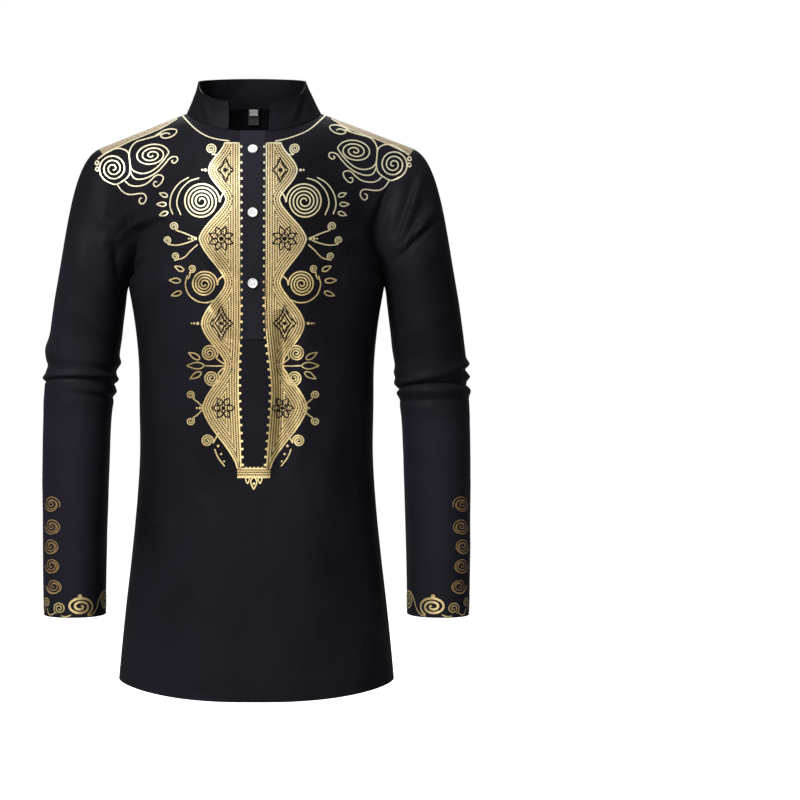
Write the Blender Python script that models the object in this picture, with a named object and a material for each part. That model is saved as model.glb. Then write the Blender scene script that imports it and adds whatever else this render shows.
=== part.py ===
"""A long-sleeved dashiki shirt in its worn, filled-out form, with nobody in it.

The pieces are the ones that a maker cuts and sews: front, back, two set-in sleeves, a stand collar that is
open at the throat, a half placket with the strip under it, three buttons and a neck label.

+Z is up, the front faces -Y and +X is the wearer's left. The origin lies between the shoulders, at the height
where the collar's seam crosses the shoulder seams. Every size is in metres.
"""

import math
from typing import NamedTuple

import bmesh
import bpy
import numpy as np
from mathutils import Vector

# Cloth and seams
CLOTH = 0.0012  # wall of one layer of cloth
COLLAR_CLOTH = 0.0020  # two layers with an interlining
SEAM = 0.0003  # gap between two pieces at a seam
ROUNDNESS = 2.3  # power of the superellipse that the sections follow; 2 is an ellipse

# Front opening
PLACKET_X = -0.005  # the placket hangs a little towards the wearer's right
PLACKET_HALF = 0.017
SLIT_HALF = 0.011  # half of the slot in the front, which the placket covers
BUTTON_Z = (-0.0611, -0.1470, -0.2400)
BUTTON_RADIUS = 0.0065
BUTTON_THICKNESS = 0.0026
BUTTON_PROFILE = ((0.90, 0.00), (1.00, 0.40), (0.94, 0.90), (0.82, 1.00), (0.62, 0.62))  # shares of both
BUTTON_SEGMENTS = 20
HOLE_SPACING, HOLE_RADIUS = BUTTON_RADIUS * 0.26, BUTTON_RADIUS * 0.13
HOLE_SEGMENTS = 8

# Neck
NECK_X = -0.0035  # the neck hangs a little towards the wearer's right too
NECK_HALF = 0.0900
NECK_FRONT_Y, NECK_FRONT_Z = -0.0720, -0.0340
NECK_BACK_Y, NECK_BACK_Z = 0.0600, 0.0150
NECK_FRONT_FALL, NECK_BACK_RISE = 1.4, 2.0  # powers; over 1 the neckline leaves the shoulder's height slowly

# Shoulders and armholes
SHOULDER_POINT = (0.2160, 0.0, -0.0495)
ARMPIT_Z = -0.2340
HEM_Z = -0.7718
HEM_DIP = 0.0160  # the hem hangs lower at the middle than at the side seams

# Grid of the body panels
SHOULDER_COLUMNS = 7  # from the armhole to the neck
NECK_COLUMNS = 6  # from the neck to the placket, or to the middle of the back
UPPER_ROWS = 11  # from the armpit to the shoulder
LOWER_ROWS = 14  # from the hem to the armpit
SLIT_ROW = LOWER_ROWS - 1  # the slot in the front ends here, and the placket one row lower
MIDDLE = 1e-6  # the back's two halves meet this near X = 0
PULL_POWER = 2.5  # over 1, the armhole's bow stays clear of its two ends
SHARP_ANGLE = math.radians(50)  # edges over this are drawn sharp


class Section(NamedTuple):
    """A level section of the body: how far it reaches from the Z axis."""

    z: float
    half_width: float
    front: float
    back: float


BODY = (
    Section(z=-0.234, half_width=0.1755, front=0.1270, back=0.1150),
    Section(z=-0.286, half_width=0.1665, front=0.1275, back=0.1130),
    Section(z=-0.340, half_width=0.1610, front=0.1240, back=0.1080),
    Section(z=-0.400, half_width=0.1600, front=0.1220, back=0.1050),
    Section(z=-0.465, half_width=0.1593, front=0.1230, back=0.1090),
    Section(z=-0.535, half_width=0.1635, front=0.1260, back=0.1170),
    Section(z=-0.605, half_width=0.1705, front=0.1300, back=0.1250),
    Section(z=-0.675, half_width=0.1785, front=0.1350, back=0.1320),
    Section(z=-0.745, half_width=0.1855, front=0.1400, back=0.1380),
    Section(z=-0.785, half_width=0.1890, front=0.1425, back=0.1405),
)


class Panel(NamedTuple):
    """How one side of the body runs up from the armpit's level to the shoulder seam and the neck."""

    side: int  # -1 for the front, +1 for the back
    neck_y: float
    neck_z: float
    neck_power: float
    armhole_share: float  # where on the quarter section the armhole's deepest point lies
    armhole_lift: float  # rise of the columns' lower handle at the armhole
    ridge_lift: float  # at the column that ends where the shoulder seam meets the neck
    chest_lift: float  # and at the middle
    armhole_pull: float  # how far the armhole bows in between the armpit and the shoulder
    shoulder_handle: tuple  # upper handle at the shoulder point
    ridge_handle: tuple  # upper handle where the shoulder seam meets the neck
    neck_handle: tuple  # upper handle at the middle of the neckline


FRONT = Panel(
    side=-1,
    neck_y=NECK_FRONT_Y,
    neck_z=NECK_FRONT_Z,
    neck_power=NECK_FRONT_FALL,
    armhole_share=0.30,
    armhole_lift=0.012,
    ridge_lift=0.140,
    chest_lift=0.100,
    armhole_pull=0.0220,
    shoulder_handle=(-0.007, -0.060, -0.007),
    ridge_handle=(0.0, -0.050, -0.012),
    neck_handle=(0.0, -0.034, -0.044),
)
BACK = Panel(
    side=1,
    neck_y=NECK_BACK_Y,
    neck_z=NECK_BACK_Z,
    neck_power=NECK_BACK_RISE,
    armhole_share=0.29,
    armhole_lift=0.012,
    ridge_lift=0.140,
    chest_lift=0.115,
    armhole_pull=0.0160,
    shoulder_handle=(-0.007, 0.060, -0.007),
    ridge_handle=(0.0, 0.050, -0.012),
    neck_handle=(0.0, 0.036, -0.034),
)


class Crease(NamedTuple):
    """A straight soft fold of the front (-1) or the back (+1), by its X and Z; a trough's height is negative."""

    side: int
    x0: float
    z0: float
    x1: float
    z1: float
    width: float
    height: float


CREASES = (
    # drag lines from the armpits
    Crease(side=-1, x0=-0.170, z0=-0.205, x1=-0.115, z1=-0.160, width=0.013, height=0.0045),
    Crease(side=-1, x0=-0.165, z0=-0.232, x1=-0.125, z1=-0.195, width=0.014, height=-0.0040),
    Crease(side=-1, x0=0.168, z0=-0.215, x1=0.140, z1=-0.165, width=0.013, height=0.0035),
    Crease(side=1, x0=-0.160, z0=-0.215, x1=-0.110, z1=-0.170, width=0.015, height=0.0035),
    Crease(side=1, x0=0.160, z0=-0.215, x1=0.110, z1=-0.170, width=0.015, height=0.0035),
    # long soft troughs beside the placket and down the back
    Crease(side=-1, x0=0.026, z0=-0.270, x1=0.020, z1=-0.490, width=0.018, height=-0.0030),
    Crease(side=-1, x0=-0.078, z0=-0.240, x1=-0.040, z1=-0.300, width=0.018, height=-0.0030),
    Crease(side=1, x0=-0.070, z0=-0.300, x1=-0.050, z1=-0.470, width=0.022, height=-0.0035),
    Crease(side=1, x0=0.075, z0=-0.280, x1=0.058, z1=-0.460, width=0.022, height=-0.0035),
    # folds that fall from the sleeve cap to the armpit
    Crease(side=-1, x0=0.222, z0=-0.100, x1=0.194, z1=-0.180, width=0.010, height=0.0040),
    Crease(side=-1, x0=0.232, z0=-0.130, x1=0.202, z1=-0.200, width=0.010, height=-0.0035),
    Crease(side=-1, x0=0.246, z0=-0.150, x1=0.206, z1=-0.225, width=0.010, height=0.0045),
    Crease(side=-1, x0=-0.215, z0=-0.150, x1=-0.190, z1=-0.210, width=0.013, height=0.0030),
    Crease(side=1, x0=0.235, z0=-0.130, x1=0.200, z1=-0.210, width=0.013, height=0.0035),
    Crease(side=1, x0=-0.235, z0=-0.130, x1=-0.200, z1=-0.210, width=0.013, height=0.0035),
)


class ArmRing(NamedTuple):
    """A ring of the sleeve; z is its height next to the body, and rise how much higher its outer side is."""

    z: float
    rise: float
    inner: float
    outer: float
    front: float
    back: float


ARM = (
    ArmRing(z=-0.262, rise=0.050, inner=0.1790, outer=0.2685, front=-0.067, back=0.066),
    ArmRing(z=-0.295, rise=0.032, inner=0.1830, outer=0.2770, front=-0.066, back=0.064),
    ArmRing(z=-0.330, rise=0.014, inner=0.1872, outer=0.2842, front=-0.064, back=0.060),
    ArmRing(z=-0.365, rise=0.004, inner=0.1922, outer=0.2888, front=-0.063, back=0.055),
    ArmRing(z=-0.410, rise=0.000, inner=0.1980, outer=0.2912, front=-0.063, back=0.049),
    ArmRing(z=-0.480, rise=0.000, inner=0.2012, outer=0.2925, front=-0.065, back=0.040),
    ArmRing(z=-0.560, rise=0.000, inner=0.2038, outer=0.2918, front=-0.067, back=0.031),
    ArmRing(z=-0.630, rise=0.000, inner=0.2055, outer=0.2915, front=-0.067, back=0.024),
    ArmRing(z=-0.685, rise=0.000, inner=0.2060, outer=0.2905, front=-0.066, back=0.018),
)
CAP_ROWS = 7  # from the armhole to the first ring
ARM_STRETCHES = ((-0.322, 3), (-0.403, 14), (-0.685, 7))  # down to that height, in that many rows
CAP_TOP_DIRECTION = (0.93, 0.0, -0.37)  # the way the cloth leaves the armhole at the shoulder point
CAP_PIT_DIRECTION = (0.75, 0.0, -0.66)  # and at the armpit
CAP_SPREAD = 0.35  # how much the cap swells to the front and back
CAP_HANDLE, ARM_HANDLE = 0.21, 0.37  # lengths of the cap's handles, in shares of its run


class ArmFold(NamedTuple):
    """A fold that runs round the sleeve near the elbow; a crease has a negative height."""

    z_outer: float
    z_inner: float
    width: float
    height: float


ELBOW_LEFT = (
    ArmFold(z_outer=-0.3410, z_inner=-0.3620, width=0.0080, height=0.0030),
    ArmFold(z_outer=-0.3550, z_inner=-0.3730, width=0.0050, height=-0.0022),
    ArmFold(z_outer=-0.3790, z_inner=-0.3840, width=0.0065, height=0.0032),
    ArmFold(z_outer=-0.3910, z_inner=-0.3950, width=0.0060, height=-0.0020),
)
ELBOW_RIGHT = (
    ArmFold(z_outer=-0.3270, z_inner=-0.3400, width=0.0075, height=0.0026),
    ArmFold(z_outer=-0.3430, z_inner=-0.3530, width=0.0060, height=-0.0024),
    ArmFold(z_outer=-0.3640, z_inner=-0.3655, width=0.0060, height=0.0032),
    ArmFold(z_outer=-0.3750, z_inner=-0.3745, width=0.0050, height=-0.0024),
    ArmFold(z_outer=-0.3860, z_inner=-0.3850, width=0.0060, height=0.0020),
)

# Collar
COLLAR_ROWS = 3
COLLAR_TOP_HALF = 0.0718
COLLAR_TOP_X = -0.006
COLLAR_TOP_FRONT_Y, COLLAR_TOP_BACK_Y = -0.0640, 0.0520
COLLAR_TOP_SIDE_Z = 0.0430
COLLAR_TOP_FRONT_Z, COLLAR_TOP_BACK_Z = 0.0055, 0.0545
COLLAR_DROP_FRONT, COLLAR_DROP_BACK = 0.72, 1.0  # powers; under 1 the edge leaves the side's height quickly
COLLAR_SWELL = 0.0020  # outward curve of the stand between its edges
COLLAR_BASE_ENDS = (-0.0375, 0.0160)  # X of its two ends at the seam
COLLAR_TOP_ENDS = (-0.0370, 0.0190)  # and at the top edge

# Neck label
LABEL_X = -0.0040
LABEL_HALF, LABEL_LENGTH = 0.0073, 0.0250
TAB_HALF, TAB_LENGTH = 0.0059, 0.0095
LABEL_CLOTH = 0.0010
LABEL_GAP = 0.0006  # between the back and the label
LABEL_TOP_GAP = 0.0010  # the label starts this far below the neck seam

BLACK = (0.012, 0.011, 0.016)
GREY = (0.11, 0.11, 0.12)
WHITE = (0.86, 0.86, 0.85)


def hermite(positions, values, at):
    """Smooth curve through a short table, read at these positions."""
    order = np.argsort(positions)
    p, v = np.asarray(positions, float)[order], np.asarray(values, float)[order]
    slopes = np.gradient(v, p)
    at = np.clip(at, p[0], p[-1])
    i = np.clip(np.searchsorted(p, at) - 1, 0, len(p) - 2)
    step = p[i + 1] - p[i]
    t = (at - p[i]) / step
    return (
        v[i] * (2 * t**3 - 3 * t**2 + 1)
        + slopes[i] * step * (t**3 - 2 * t**2 + t)
        + v[i + 1] * (3 * t**2 - 2 * t**3)
        + slopes[i + 1] * step * (t**3 - t**2)
    )


def table(rows, name, at):
    """One named column of a table of sections, read at these heights."""
    return hermite([row.z for row in rows], [getattr(row, name) for row in rows], at)


def bezier(p0, p1, p2, p3, t):
    """Points at the shares t of a cubic between p0 and p3."""
    t = np.asarray(t)[..., None]
    return (1 - t) ** 3 * p0 + 3 * (1 - t) ** 2 * t * p1 + 3 * (1 - t) * t**2 * p2 + t**3 * p3


def mix(a, b, share):
    """From a at share 0 to b at share 1."""
    return np.asarray(a) + (np.asarray(b) - np.asarray(a)) * np.asarray(share)


def unit(vectors):
    """The same directions with length 1."""
    return vectors / np.linalg.norm(vectors, axis=-1, keepdims=True)


def body_point(side, angle, z):
    """A point of the body's section at height z; angle 0 is the side seam and pi/2 the middle."""
    reach = table(BODY, "front" if side < 0 else "back", z)
    x = table(BODY, "half_width", z) * np.cos(angle) ** (2 / ROUNDNESS)
    return np.stack([x, side * reach * np.sin(angle) ** (2 / ROUNDNESS), z + 0 * x], axis=-1)


def angle_at_x(x, z):
    """The angle on the section at height z where it is x from the middle."""
    return np.arccos((x / table(BODY, "half_width", z)) ** (ROUNDNESS / 2))


def half_panel(panel, sign, edge_x):
    """Grid of one half of a body panel, from hem to shoulder and from the armhole to x = edge_x.

    sign is +1 for the wearer's left. x counts away from the middle here, and is turned over at the end.
    """
    columns = SHOULDER_COLUMNS + NECK_COLUMNS
    share = np.arange(columns + 1) / columns
    neck_share = SHOULDER_COLUMNS / columns
    seam_y = panel.side * SEAM / 2

    down = np.linspace(1, 0, LOWER_ROWS + 1)[:-1, None]
    hem = HEM_Z - HEM_DIP * np.sin(share * math.pi / 2) ** 2
    z = mix(ARMPIT_Z, hem[None], down)
    lower = body_point(panel.side, share * angle_at_x(edge_x, z), z)

    level = np.full(columns + 1, ARMPIT_Z)
    edge_angle = angle_at_x(edge_x, level)
    start = body_point(panel.side, share * edge_angle, level)
    squeezed = mix(panel.armhole_share, 1.0, share)
    low_handle = body_point(panel.side, squeezed * edge_angle, level)
    lifts = (panel.armhole_lift, panel.ridge_lift, panel.chest_lift)
    low_handle[:, 2] += hermite((0, neck_share, 1), lifts, share)

    neck_x = sign * NECK_X
    along_seam = np.clip(share / neck_share, 0, 1)[:, None]
    seam_end = np.array([neck_x + NECK_HALF, 0.0, 0.0])
    end = mix(SHOULDER_POINT, seam_end, along_seam)
    neck_angle = np.clip((share - neck_share) / (1 - neck_share), 0, 1)
    neck_angle = neck_angle * math.acos((edge_x - neck_x) / NECK_HALF)
    at_neck = np.stack(
        [
            neck_x + NECK_HALF * np.cos(neck_angle),
            panel.neck_y * np.sin(neck_angle),
            panel.neck_z * np.sin(neck_angle) ** panel.neck_power,
        ],
        axis=-1,
    )
    end = np.where(share[:, None] > neck_share, at_neck, end)
    handle = mix(panel.shoulder_handle, panel.ridge_handle, along_seam)
    turn = np.sin(neck_angle) / math.sin(neck_angle[-1])
    handle = mix(handle, panel.neck_handle, turn[:, None])
    up = np.linspace(0, 1, UPPER_ROWS + 1)[:, None]
    upper = bezier(start[None], low_handle[None], (end + handle)[None], end[None], up)
    upper[..., 0] -= panel.armhole_pull * (4 * up * (1 - up)) ** PULL_POWER * (1 - share) ** 2

    grid = np.concatenate([lower, upper])
    on_seam = np.zeros(grid.shape[:2], bool)
    on_seam[: LOWER_ROWS + 1, 0] = True
    on_seam[-1, : SHOULDER_COLUMNS + 1] = True
    grid[..., 1] = np.where(on_seam, seam_y, grid[..., 1])
    grid[..., 0] *= sign
    return grid


def slit_columns(x_edges):
    """Columns of the front between the placket's edges, one for each x, from hem to neckline."""
    down = np.linspace(1, 0, LOWER_ROWS + 1)[:-1]
    z = np.concatenate([mix(ARMPIT_Z, HEM_Z - HEM_DIP, down), [ARMPIT_Z]])
    columns = []
    for x in x_edges:
        lower = body_point(-1, angle_at_x(abs(x), z), z)
        neck_sine = math.sqrt(1 - ((x - NECK_X) / NECK_HALF) ** 2)
        end = np.array([abs(x), NECK_FRONT_Y * neck_sine, NECK_FRONT_Z * neck_sine**NECK_FRONT_FALL])
        low_handle = lower[-1] + (0, 0, FRONT.chest_lift)
        up = np.linspace(0, 1, UPPER_ROWS + 1)[1:]
        column = np.concatenate([lower, bezier(lower[-1], low_handle, end + FRONT.neck_handle, end, up)])
        column[:, 0] *= math.copysign(1, x)
        columns.append(column)
    return np.stack(columns, axis=1)


def crease_lift(points, side):
    """How far the creases lift each point of the front (-1) or the back (+1)."""
    lift = np.zeros(points.shape[:-1])
    flat = points[..., [0, 2]]
    for crease in CREASES:
        if crease.side != side:
            continue
        start, end = np.array([crease.x0, crease.z0]), np.array([crease.x1, crease.z1])
        along = np.clip((flat - start) @ (end - start) / np.sum((end - start) ** 2), 0, 1)
        away = np.linalg.norm(flat - start - along[..., None] * (end - start), axis=-1)
        taper = np.sqrt(4 * along * (1 - along))
        lift += crease.height * taper * np.exp(-((away / crease.width) ** 2))
    return lift


def normals_of(grid, closed=False):
    """Unit normals of a grid of points, out of the cloth; closed means that its columns go all round."""
    if closed:
        ring = np.concatenate([grid[:, -1:], grid, grid[:, :1]], axis=1)
        across = np.gradient(ring, axis=1)[:, 1:-1]
    else:
        across = np.gradient(grid, axis=1)
    return unit(np.cross(across, np.gradient(grid, axis=0)))


def folded(grid, side):
    """The grid with the creases of its side, fading out towards its edges so that the seams still meet."""
    rows, columns = grid.shape[:2]
    edge = np.minimum(np.arange(columns), np.arange(columns)[::-1]) / 2
    fade = np.clip(edge, 0, 1)[None] * np.clip(np.arange(rows)[::-1] / 2, 0, 1)[:, None]
    return grid + (crease_lift(grid, side) * fade)[..., None] * normals_of(grid)


def wall(name, outer, inner, material, closed=False, keep=None):
    """A solid between two grids of points, with rims round the cells that it keeps."""
    rows, columns = outer.shape[:2]
    cells = columns if closed else columns - 1
    if keep is None:
        keep = np.ones((rows - 1, cells), bool)
    mesh = bmesh.new()
    layers = []
    for grid in (outer, inner):
        layers.append([[mesh.verts.new(Vector(p)) for p in row] for row in grid])

    def corner(layer, i, j):
        return layers[layer][i][j % columns]

    def kept(i, j):
        if closed:
            j %= cells
        return 0 <= i < rows - 1 and 0 <= j < cells and bool(keep[i, j])

    for i in range(rows - 1):
        for j in range(cells):
            if not keep[i, j]:
                continue
            around = [(i, j), (i, j + 1), (i + 1, j + 1), (i + 1, j)]
            for half in (around[:3], [around[2], around[3], around[0]]):
                mesh.faces.new([corner(0, *c) for c in half])
                mesh.faces.new([corner(1, *c) for c in reversed(half)])
            beside = [(i - 1, j), (i, j + 1), (i + 1, j), (i, j - 1)]
            for side, neighbour in enumerate(beside):
                if not kept(*neighbour):
                    a, b = around[side], around[(side + 1) % 4]
                    mesh.faces.new([corner(0, *b), corner(0, *a), corner(1, *a), corner(1, *b)])
    loose = [v for v in mesh.verts if not v.link_faces]
    bmesh.ops.delete(mesh, geom=loose, context="VERTS")
    return object_of(name, mesh, material)


def object_of(name, mesh, material):
    """A shaded object made from a bmesh, in the shirt's collection."""
    data = bpy.data.meshes.new(name)
    mesh.to_mesh(data)
    mesh.free()
    data.materials.append(material)
    data.shade_smooth()
    data.set_sharp_from_angle(angle=SHARP_ANGLE)
    piece = bpy.data.objects.new(name, data)
    bpy.data.collections["dashiki_shirt"].objects.link(piece)
    return piece


def cloth_material(name, colour, roughness):
    """A plain Principled material."""
    material = bpy.data.materials.new(name)
    material.use_nodes = True
    shader = material.node_tree.nodes["Principled BSDF"]
    shader.inputs["Base Color"].default_value = (*colour, 1)
    shader.inputs["Roughness"].default_value = roughness
    shader.inputs["Metallic"].default_value = 0
    return material


def front_grid():
    """Points of the whole front, from the right armhole to the left one, and the slit's column of cells."""
    left = half_panel(FRONT, 1, PLACKET_X + PLACKET_HALF)
    right = half_panel(FRONT, -1, PLACKET_HALF - PLACKET_X)
    middle = slit_columns((PLACKET_X + SLIT_HALF, PLACKET_X - SLIT_HALF))
    grid = np.concatenate([left, middle, right[:, ::-1]], axis=1)
    return folded(grid[:, ::-1], -1), right.shape[1]


def back_grid():
    """Points of the whole back, from the wearer's left armhole to the right one."""
    left = half_panel(BACK, 1, MIDDLE)
    right = half_panel(BACK, -1, MIDDLE)
    return folded(np.concatenate([left, right[:, -2::-1]], axis=1), 1)


def body_normals(front, back):
    """Normals of the front and the back, made equal along the seams that join them."""
    front_normals, back_normals = normals_of(front), normals_of(back)
    for column in (0, -1):
        other = -1 - column
        shared = unit(front_normals[: LOWER_ROWS + 1, column] + back_normals[: LOWER_ROWS + 1, other])
        front_normals[: LOWER_ROWS + 1, column] = back_normals[: LOWER_ROWS + 1, other] = shared
    seam = SHOULDER_COLUMNS + 1
    for front_part, back_part in (
        (slice(None, seam), slice(-1, -1 - seam, -1)),
        (slice(-1, -1 - seam, -1), slice(None, seam)),
    ):
        shared = unit(front_normals[-1, front_part] + back_normals[-1, back_part])
        front_normals[-1, front_part] = back_normals[-1, back_part] = shared
    return front_normals, back_normals


def armhole_loop(front, back, sign):
    """The edge round one armhole: from the armpit up the front to the shoulder and down the back."""
    front_column, back_column = (-1, 0) if sign > 0 else (0, -1)
    up_front = front[LOWER_ROWS:, front_column]
    down_back = back[LOWER_ROWS:, back_column][::-1]
    return np.concatenate([up_front, down_back[1:-1]])


def arm_rings(rows_z, sign, folds):
    """Rings of the sleeve at these heights, with the elbow's folds."""
    count = 2 * UPPER_ROWS
    angle = 2 * math.pi * np.arange(count)[None] / count
    z = np.asarray(rows_z)[:, None]
    outward = (1 - np.cos(angle)) / 2
    inner, outer = table(ARM, "inner", z), table(ARM, "outer", z)
    front, back = table(ARM, "front", z), table(ARM, "back", z)
    power = 2 / ROUNDNESS
    swing = np.sign(np.cos(angle)) * np.abs(np.cos(angle)) ** power
    thrust = np.sign(np.sin(angle)) * np.abs(np.sin(angle)) ** power
    x = (inner + outer) / 2 - (outer - inner) / 2 * swing
    y = np.where(thrust > 0, thrust * front, -thrust * back)
    height = z + table(ARM, "rise", z) * outward
    rings = np.stack([x, y, height], axis=-1)
    lift = np.zeros(height.shape)
    for fold in folds:
        away = height - mix(fold.z_inner, fold.z_outer, outward)
        lift += fold.height * np.exp(-((away / fold.width) ** 2))
    out = unit(np.stack([-swing, -thrust, 0 * swing], axis=-1))
    return (rings + lift[..., None] * out) * (sign, 1, 1)


def sleeve_grid(loop, sign, folds):
    """Points of a sleeve, from armhole to cuff; its columns start at the armpit and go up the front."""
    heights = [ARM[0].z]
    for bottom, rows in ARM_STRETCHES:
        heights.extend(np.linspace(heights[-1], bottom, rows + 1)[1:])
    arm = arm_rings(heights, sign, folds)
    angle = 2 * math.pi * np.arange(2 * UPPER_ROWS) / (2 * UPPER_ROWS)
    outward = ((1 - np.cos(angle)) / 2)[:, None]
    away = unit(mix(CAP_PIT_DIRECTION, CAP_TOP_DIRECTION, outward))
    away[:, 1] -= CAP_SPREAD * np.sin(angle)
    away = unit(away) * (sign, 1, 1)
    start = loop + SEAM * np.array([sign, 0, 0])
    run = np.linalg.norm(arm[0] - start, axis=1)[:, None]
    down = unit(arm[0] - arm[1])
    share = np.linspace(0, 1, CAP_ROWS + 1)[:-1, None]
    cap = bezier(start, start + away * run * CAP_HANDLE, arm[0] + down * run * ARM_HANDLE, arm[0], share)
    grid = np.concatenate([cap, arm])
    normals = -sign * normals_of(grid, closed=True)
    lift = np.where(normals[..., 1] < 0, crease_lift(grid, -1), crease_lift(grid, 1))
    fade = np.clip(np.arange(len(grid)) / 2, 0, 1)[:, None] * np.abs(normals[..., 1])
    return grid + (lift * fade)[..., None] * normals


def seam_normals(body, sleeve, into_sleeve):
    """Both pieces' normals at an armhole: shared where the cloth turns over it, their own where it folds in."""
    turns_over = np.sum(body * into_sleeve, axis=-1) < 0
    shared = unit(body + sleeve)
    pick = turns_over[:, None]
    return np.where(pick, shared, body), np.where(pick, shared, sleeve)


def build_body_and_sleeves(cloth):
    """The front, the back and both sleeves; returns the front's and back's grids and normals."""
    front, slit = front_grid()
    back = back_grid()
    front_normals, back_normals = body_normals(front, back)
    for name, sign, folds in (("sleeve_left", 1, ELBOW_LEFT), ("sleeve_right", -1, ELBOW_RIGHT)):
        loop = armhole_loop(front, back, sign)
        grid = sleeve_grid(loop, sign, folds)
        normals = -sign * normals_of(grid, closed=True)
        body_loop = armhole_loop(front_normals, back_normals, sign)
        body_loop, normals[0] = seam_normals(body_loop, normals[0], grid[1] - grid[0])
        front_column, back_column = (-1, 0) if sign > 0 else (0, -1)
        front_normals[LOWER_ROWS:, front_column] = body_loop[: UPPER_ROWS + 1]
        back_normals[LOWER_ROWS + 1 : -1, back_column] = body_loop[: UPPER_ROWS : -1]
        back_normals[LOWER_ROWS, back_column] = body_loop[0]
        back_normals[-1, back_column] = body_loop[UPPER_ROWS]
        if sign < 0:
            grid, normals = grid[:, ::-1], normals[:, ::-1]
        wall(name, grid[::-1], (grid - CLOTH * normals)[::-1], cloth, closed=True)

    rows, columns = front.shape[:2]
    keep = np.ones((rows - 1, columns - 1), bool)
    keep[SLIT_ROW:, slit] = False
    wall("front", front, front - CLOTH * front_normals, cloth, keep=keep)
    wall("back", back, back - CLOTH * back_normals, cloth)
    return front, front_normals, slit, back, back_normals


def build_placket(front, normals, slit, cloth):
    """The strip over the slit and the one under it, both made from the front's own points."""
    columns = slice(slit - 1, slit + 3)
    rows = slice(SLIT_ROW - 1, None)
    seat, out = front[rows, columns], normals[rows, columns]
    wall("placket", seat + (SEAM + CLOTH) * out, seat + SEAM * out, cloth)
    under = seat - (CLOTH + SEAM) * out
    wall("placket_under", under, under - CLOTH * out, cloth)


def cut_at_x(points, x):
    """The stretch of a line of points from its start to where it crosses x."""
    k = int(np.argmax((points[:, 0] - x) * (points[0, 0] - x) < 0))
    share = (x - points[k - 1, 0]) / (points[k, 0] - points[k - 1, 0])
    return np.concatenate([points[:k], [mix(points[k - 1], points[k], share)]])


def neckline(front, back):
    """The points that the collar stands on, from its right end round the back to its left one."""
    right_end, left_end = COLLAR_BASE_ENDS
    right = cut_at_x(front[-1, SHOULDER_COLUMNS:], right_end)[::-1]
    across_back = back[-1, SHOULDER_COLUMNS:-SHOULDER_COLUMNS][::-1]
    left = cut_at_x(front[-1, : -SHOULDER_COLUMNS][::-1], left_end)
    return np.concatenate([right[:-1], across_back, left[1:]])


def build_collar(front, back, cloth):
    """The stand collar: it leans in from the neckline, highest at the back, with upright ends."""
    base = neckline(front, back)
    base = base + (0, 0, SEAM)
    angle = np.arctan2(base[:, 1], (base[:, 0] - NECK_X) * -NECK_FRONT_Y / NECK_HALF)
    angle = np.where(angle < angle[-1], angle + 2 * math.pi, angle)
    right_end, left_end = (math.acos((x - COLLAR_TOP_X) / COLLAR_TOP_HALF) for x in COLLAR_TOP_ENDS)
    share = (angle - angle[-1]) / (angle[0] - angle[-1])
    angle = mix(-left_end, 2 * math.pi - right_end, share)
    forward = np.sin(angle) < 0
    top_y = np.where(forward, -COLLAR_TOP_FRONT_Y, COLLAR_TOP_BACK_Y) * np.sin(angle)
    reach_z = np.where(forward, COLLAR_TOP_FRONT_Z, COLLAR_TOP_BACK_Z) - COLLAR_TOP_SIDE_Z
    drop = np.where(forward, COLLAR_DROP_FRONT, COLLAR_DROP_BACK)
    top_z = COLLAR_TOP_SIDE_Z + reach_z * np.abs(np.sin(angle)) ** drop
    top = np.stack([COLLAR_TOP_X + COLLAR_TOP_HALF * np.cos(angle), top_y, top_z], axis=-1)
    up = np.linspace(0, 1, COLLAR_ROWS + 1)[:, None, None]
    grid = mix(base[None], top[None], up)
    grid = grid + COLLAR_SWELL * np.sin(math.pi * up) * normals_of(grid)
    wall("collar", grid, grid - COLLAR_CLOTH * normals_of(grid), cloth)


def seat_at(grid, normals, x, z):
    """Point and normal of a panel's facets at that x and z."""
    near = np.abs(grid[..., 0] - x) + np.abs(grid[..., 2] - z)
    i, j = np.unravel_index(np.argmin(near), near.shape)
    step = 1 if grid[i, j, 2] < z else -1
    i2 = min(max(i + step, 0), len(grid) - 1)
    share = (z - grid[i, j, 2]) / (grid[i2, j, 2] - grid[i, j, 2])
    return mix(grid[i, j], grid[i2, j], share), unit(mix(normals[i, j], normals[i2, j], share))


def build_buttons(front, normals, slit, shell):
    """Three sewn buttons with four holes, turned from one profile and set square on the placket."""
    strip, out = front[:, slit : slit + 2], normals[:, slit : slit + 2]
    middle, middle_out = strip.mean(axis=1, keepdims=True), unit(out.mean(axis=1, keepdims=True))
    for number, z in enumerate(BUTTON_Z, start=1):
        point, outward = seat_at(middle, middle_out, PLACKET_X, z)
        point = point + (CLOTH + 2 * SEAM) * outward
        button_at(f"button_{number}", point, outward, shell)


def button_at(name, point, outward, shell):
    """One button with its flat back at the point and its face along outward."""
    mesh = bmesh.new()
    turn = [2 * math.pi * k / BUTTON_SEGMENTS for k in range(BUTTON_SEGMENTS)]
    rings = []
    for radius_share, height_share in BUTTON_PROFILE:
        radius, height = BUTTON_RADIUS * radius_share, BUTTON_THICKNESS * height_share
        rings.append([mesh.verts.new((radius * math.cos(a), radius * math.sin(a), height)) for a in turn])
    for lower, upper in zip(rings, rings[1:]):
        for k in range(BUTTON_SEGMENTS):
            n = (k + 1) % BUTTON_SEGMENTS
            mesh.faces.new((lower[k], lower[n], upper[n], upper[k]))
    mesh.faces.new(rings[0][::-1])
    mesh.faces.new(rings[-1])
    button = object_of(name, mesh, shell)
    button.matrix_world = facing(point, outward)
    drill(button, point, outward)


def facing(point, outward):
    """A matrix that puts local +Z along outward at the point."""
    turn = Vector(outward).to_track_quat("Z", "Y").to_matrix().to_4x4()
    turn.translation = Vector(point)
    return turn


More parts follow.
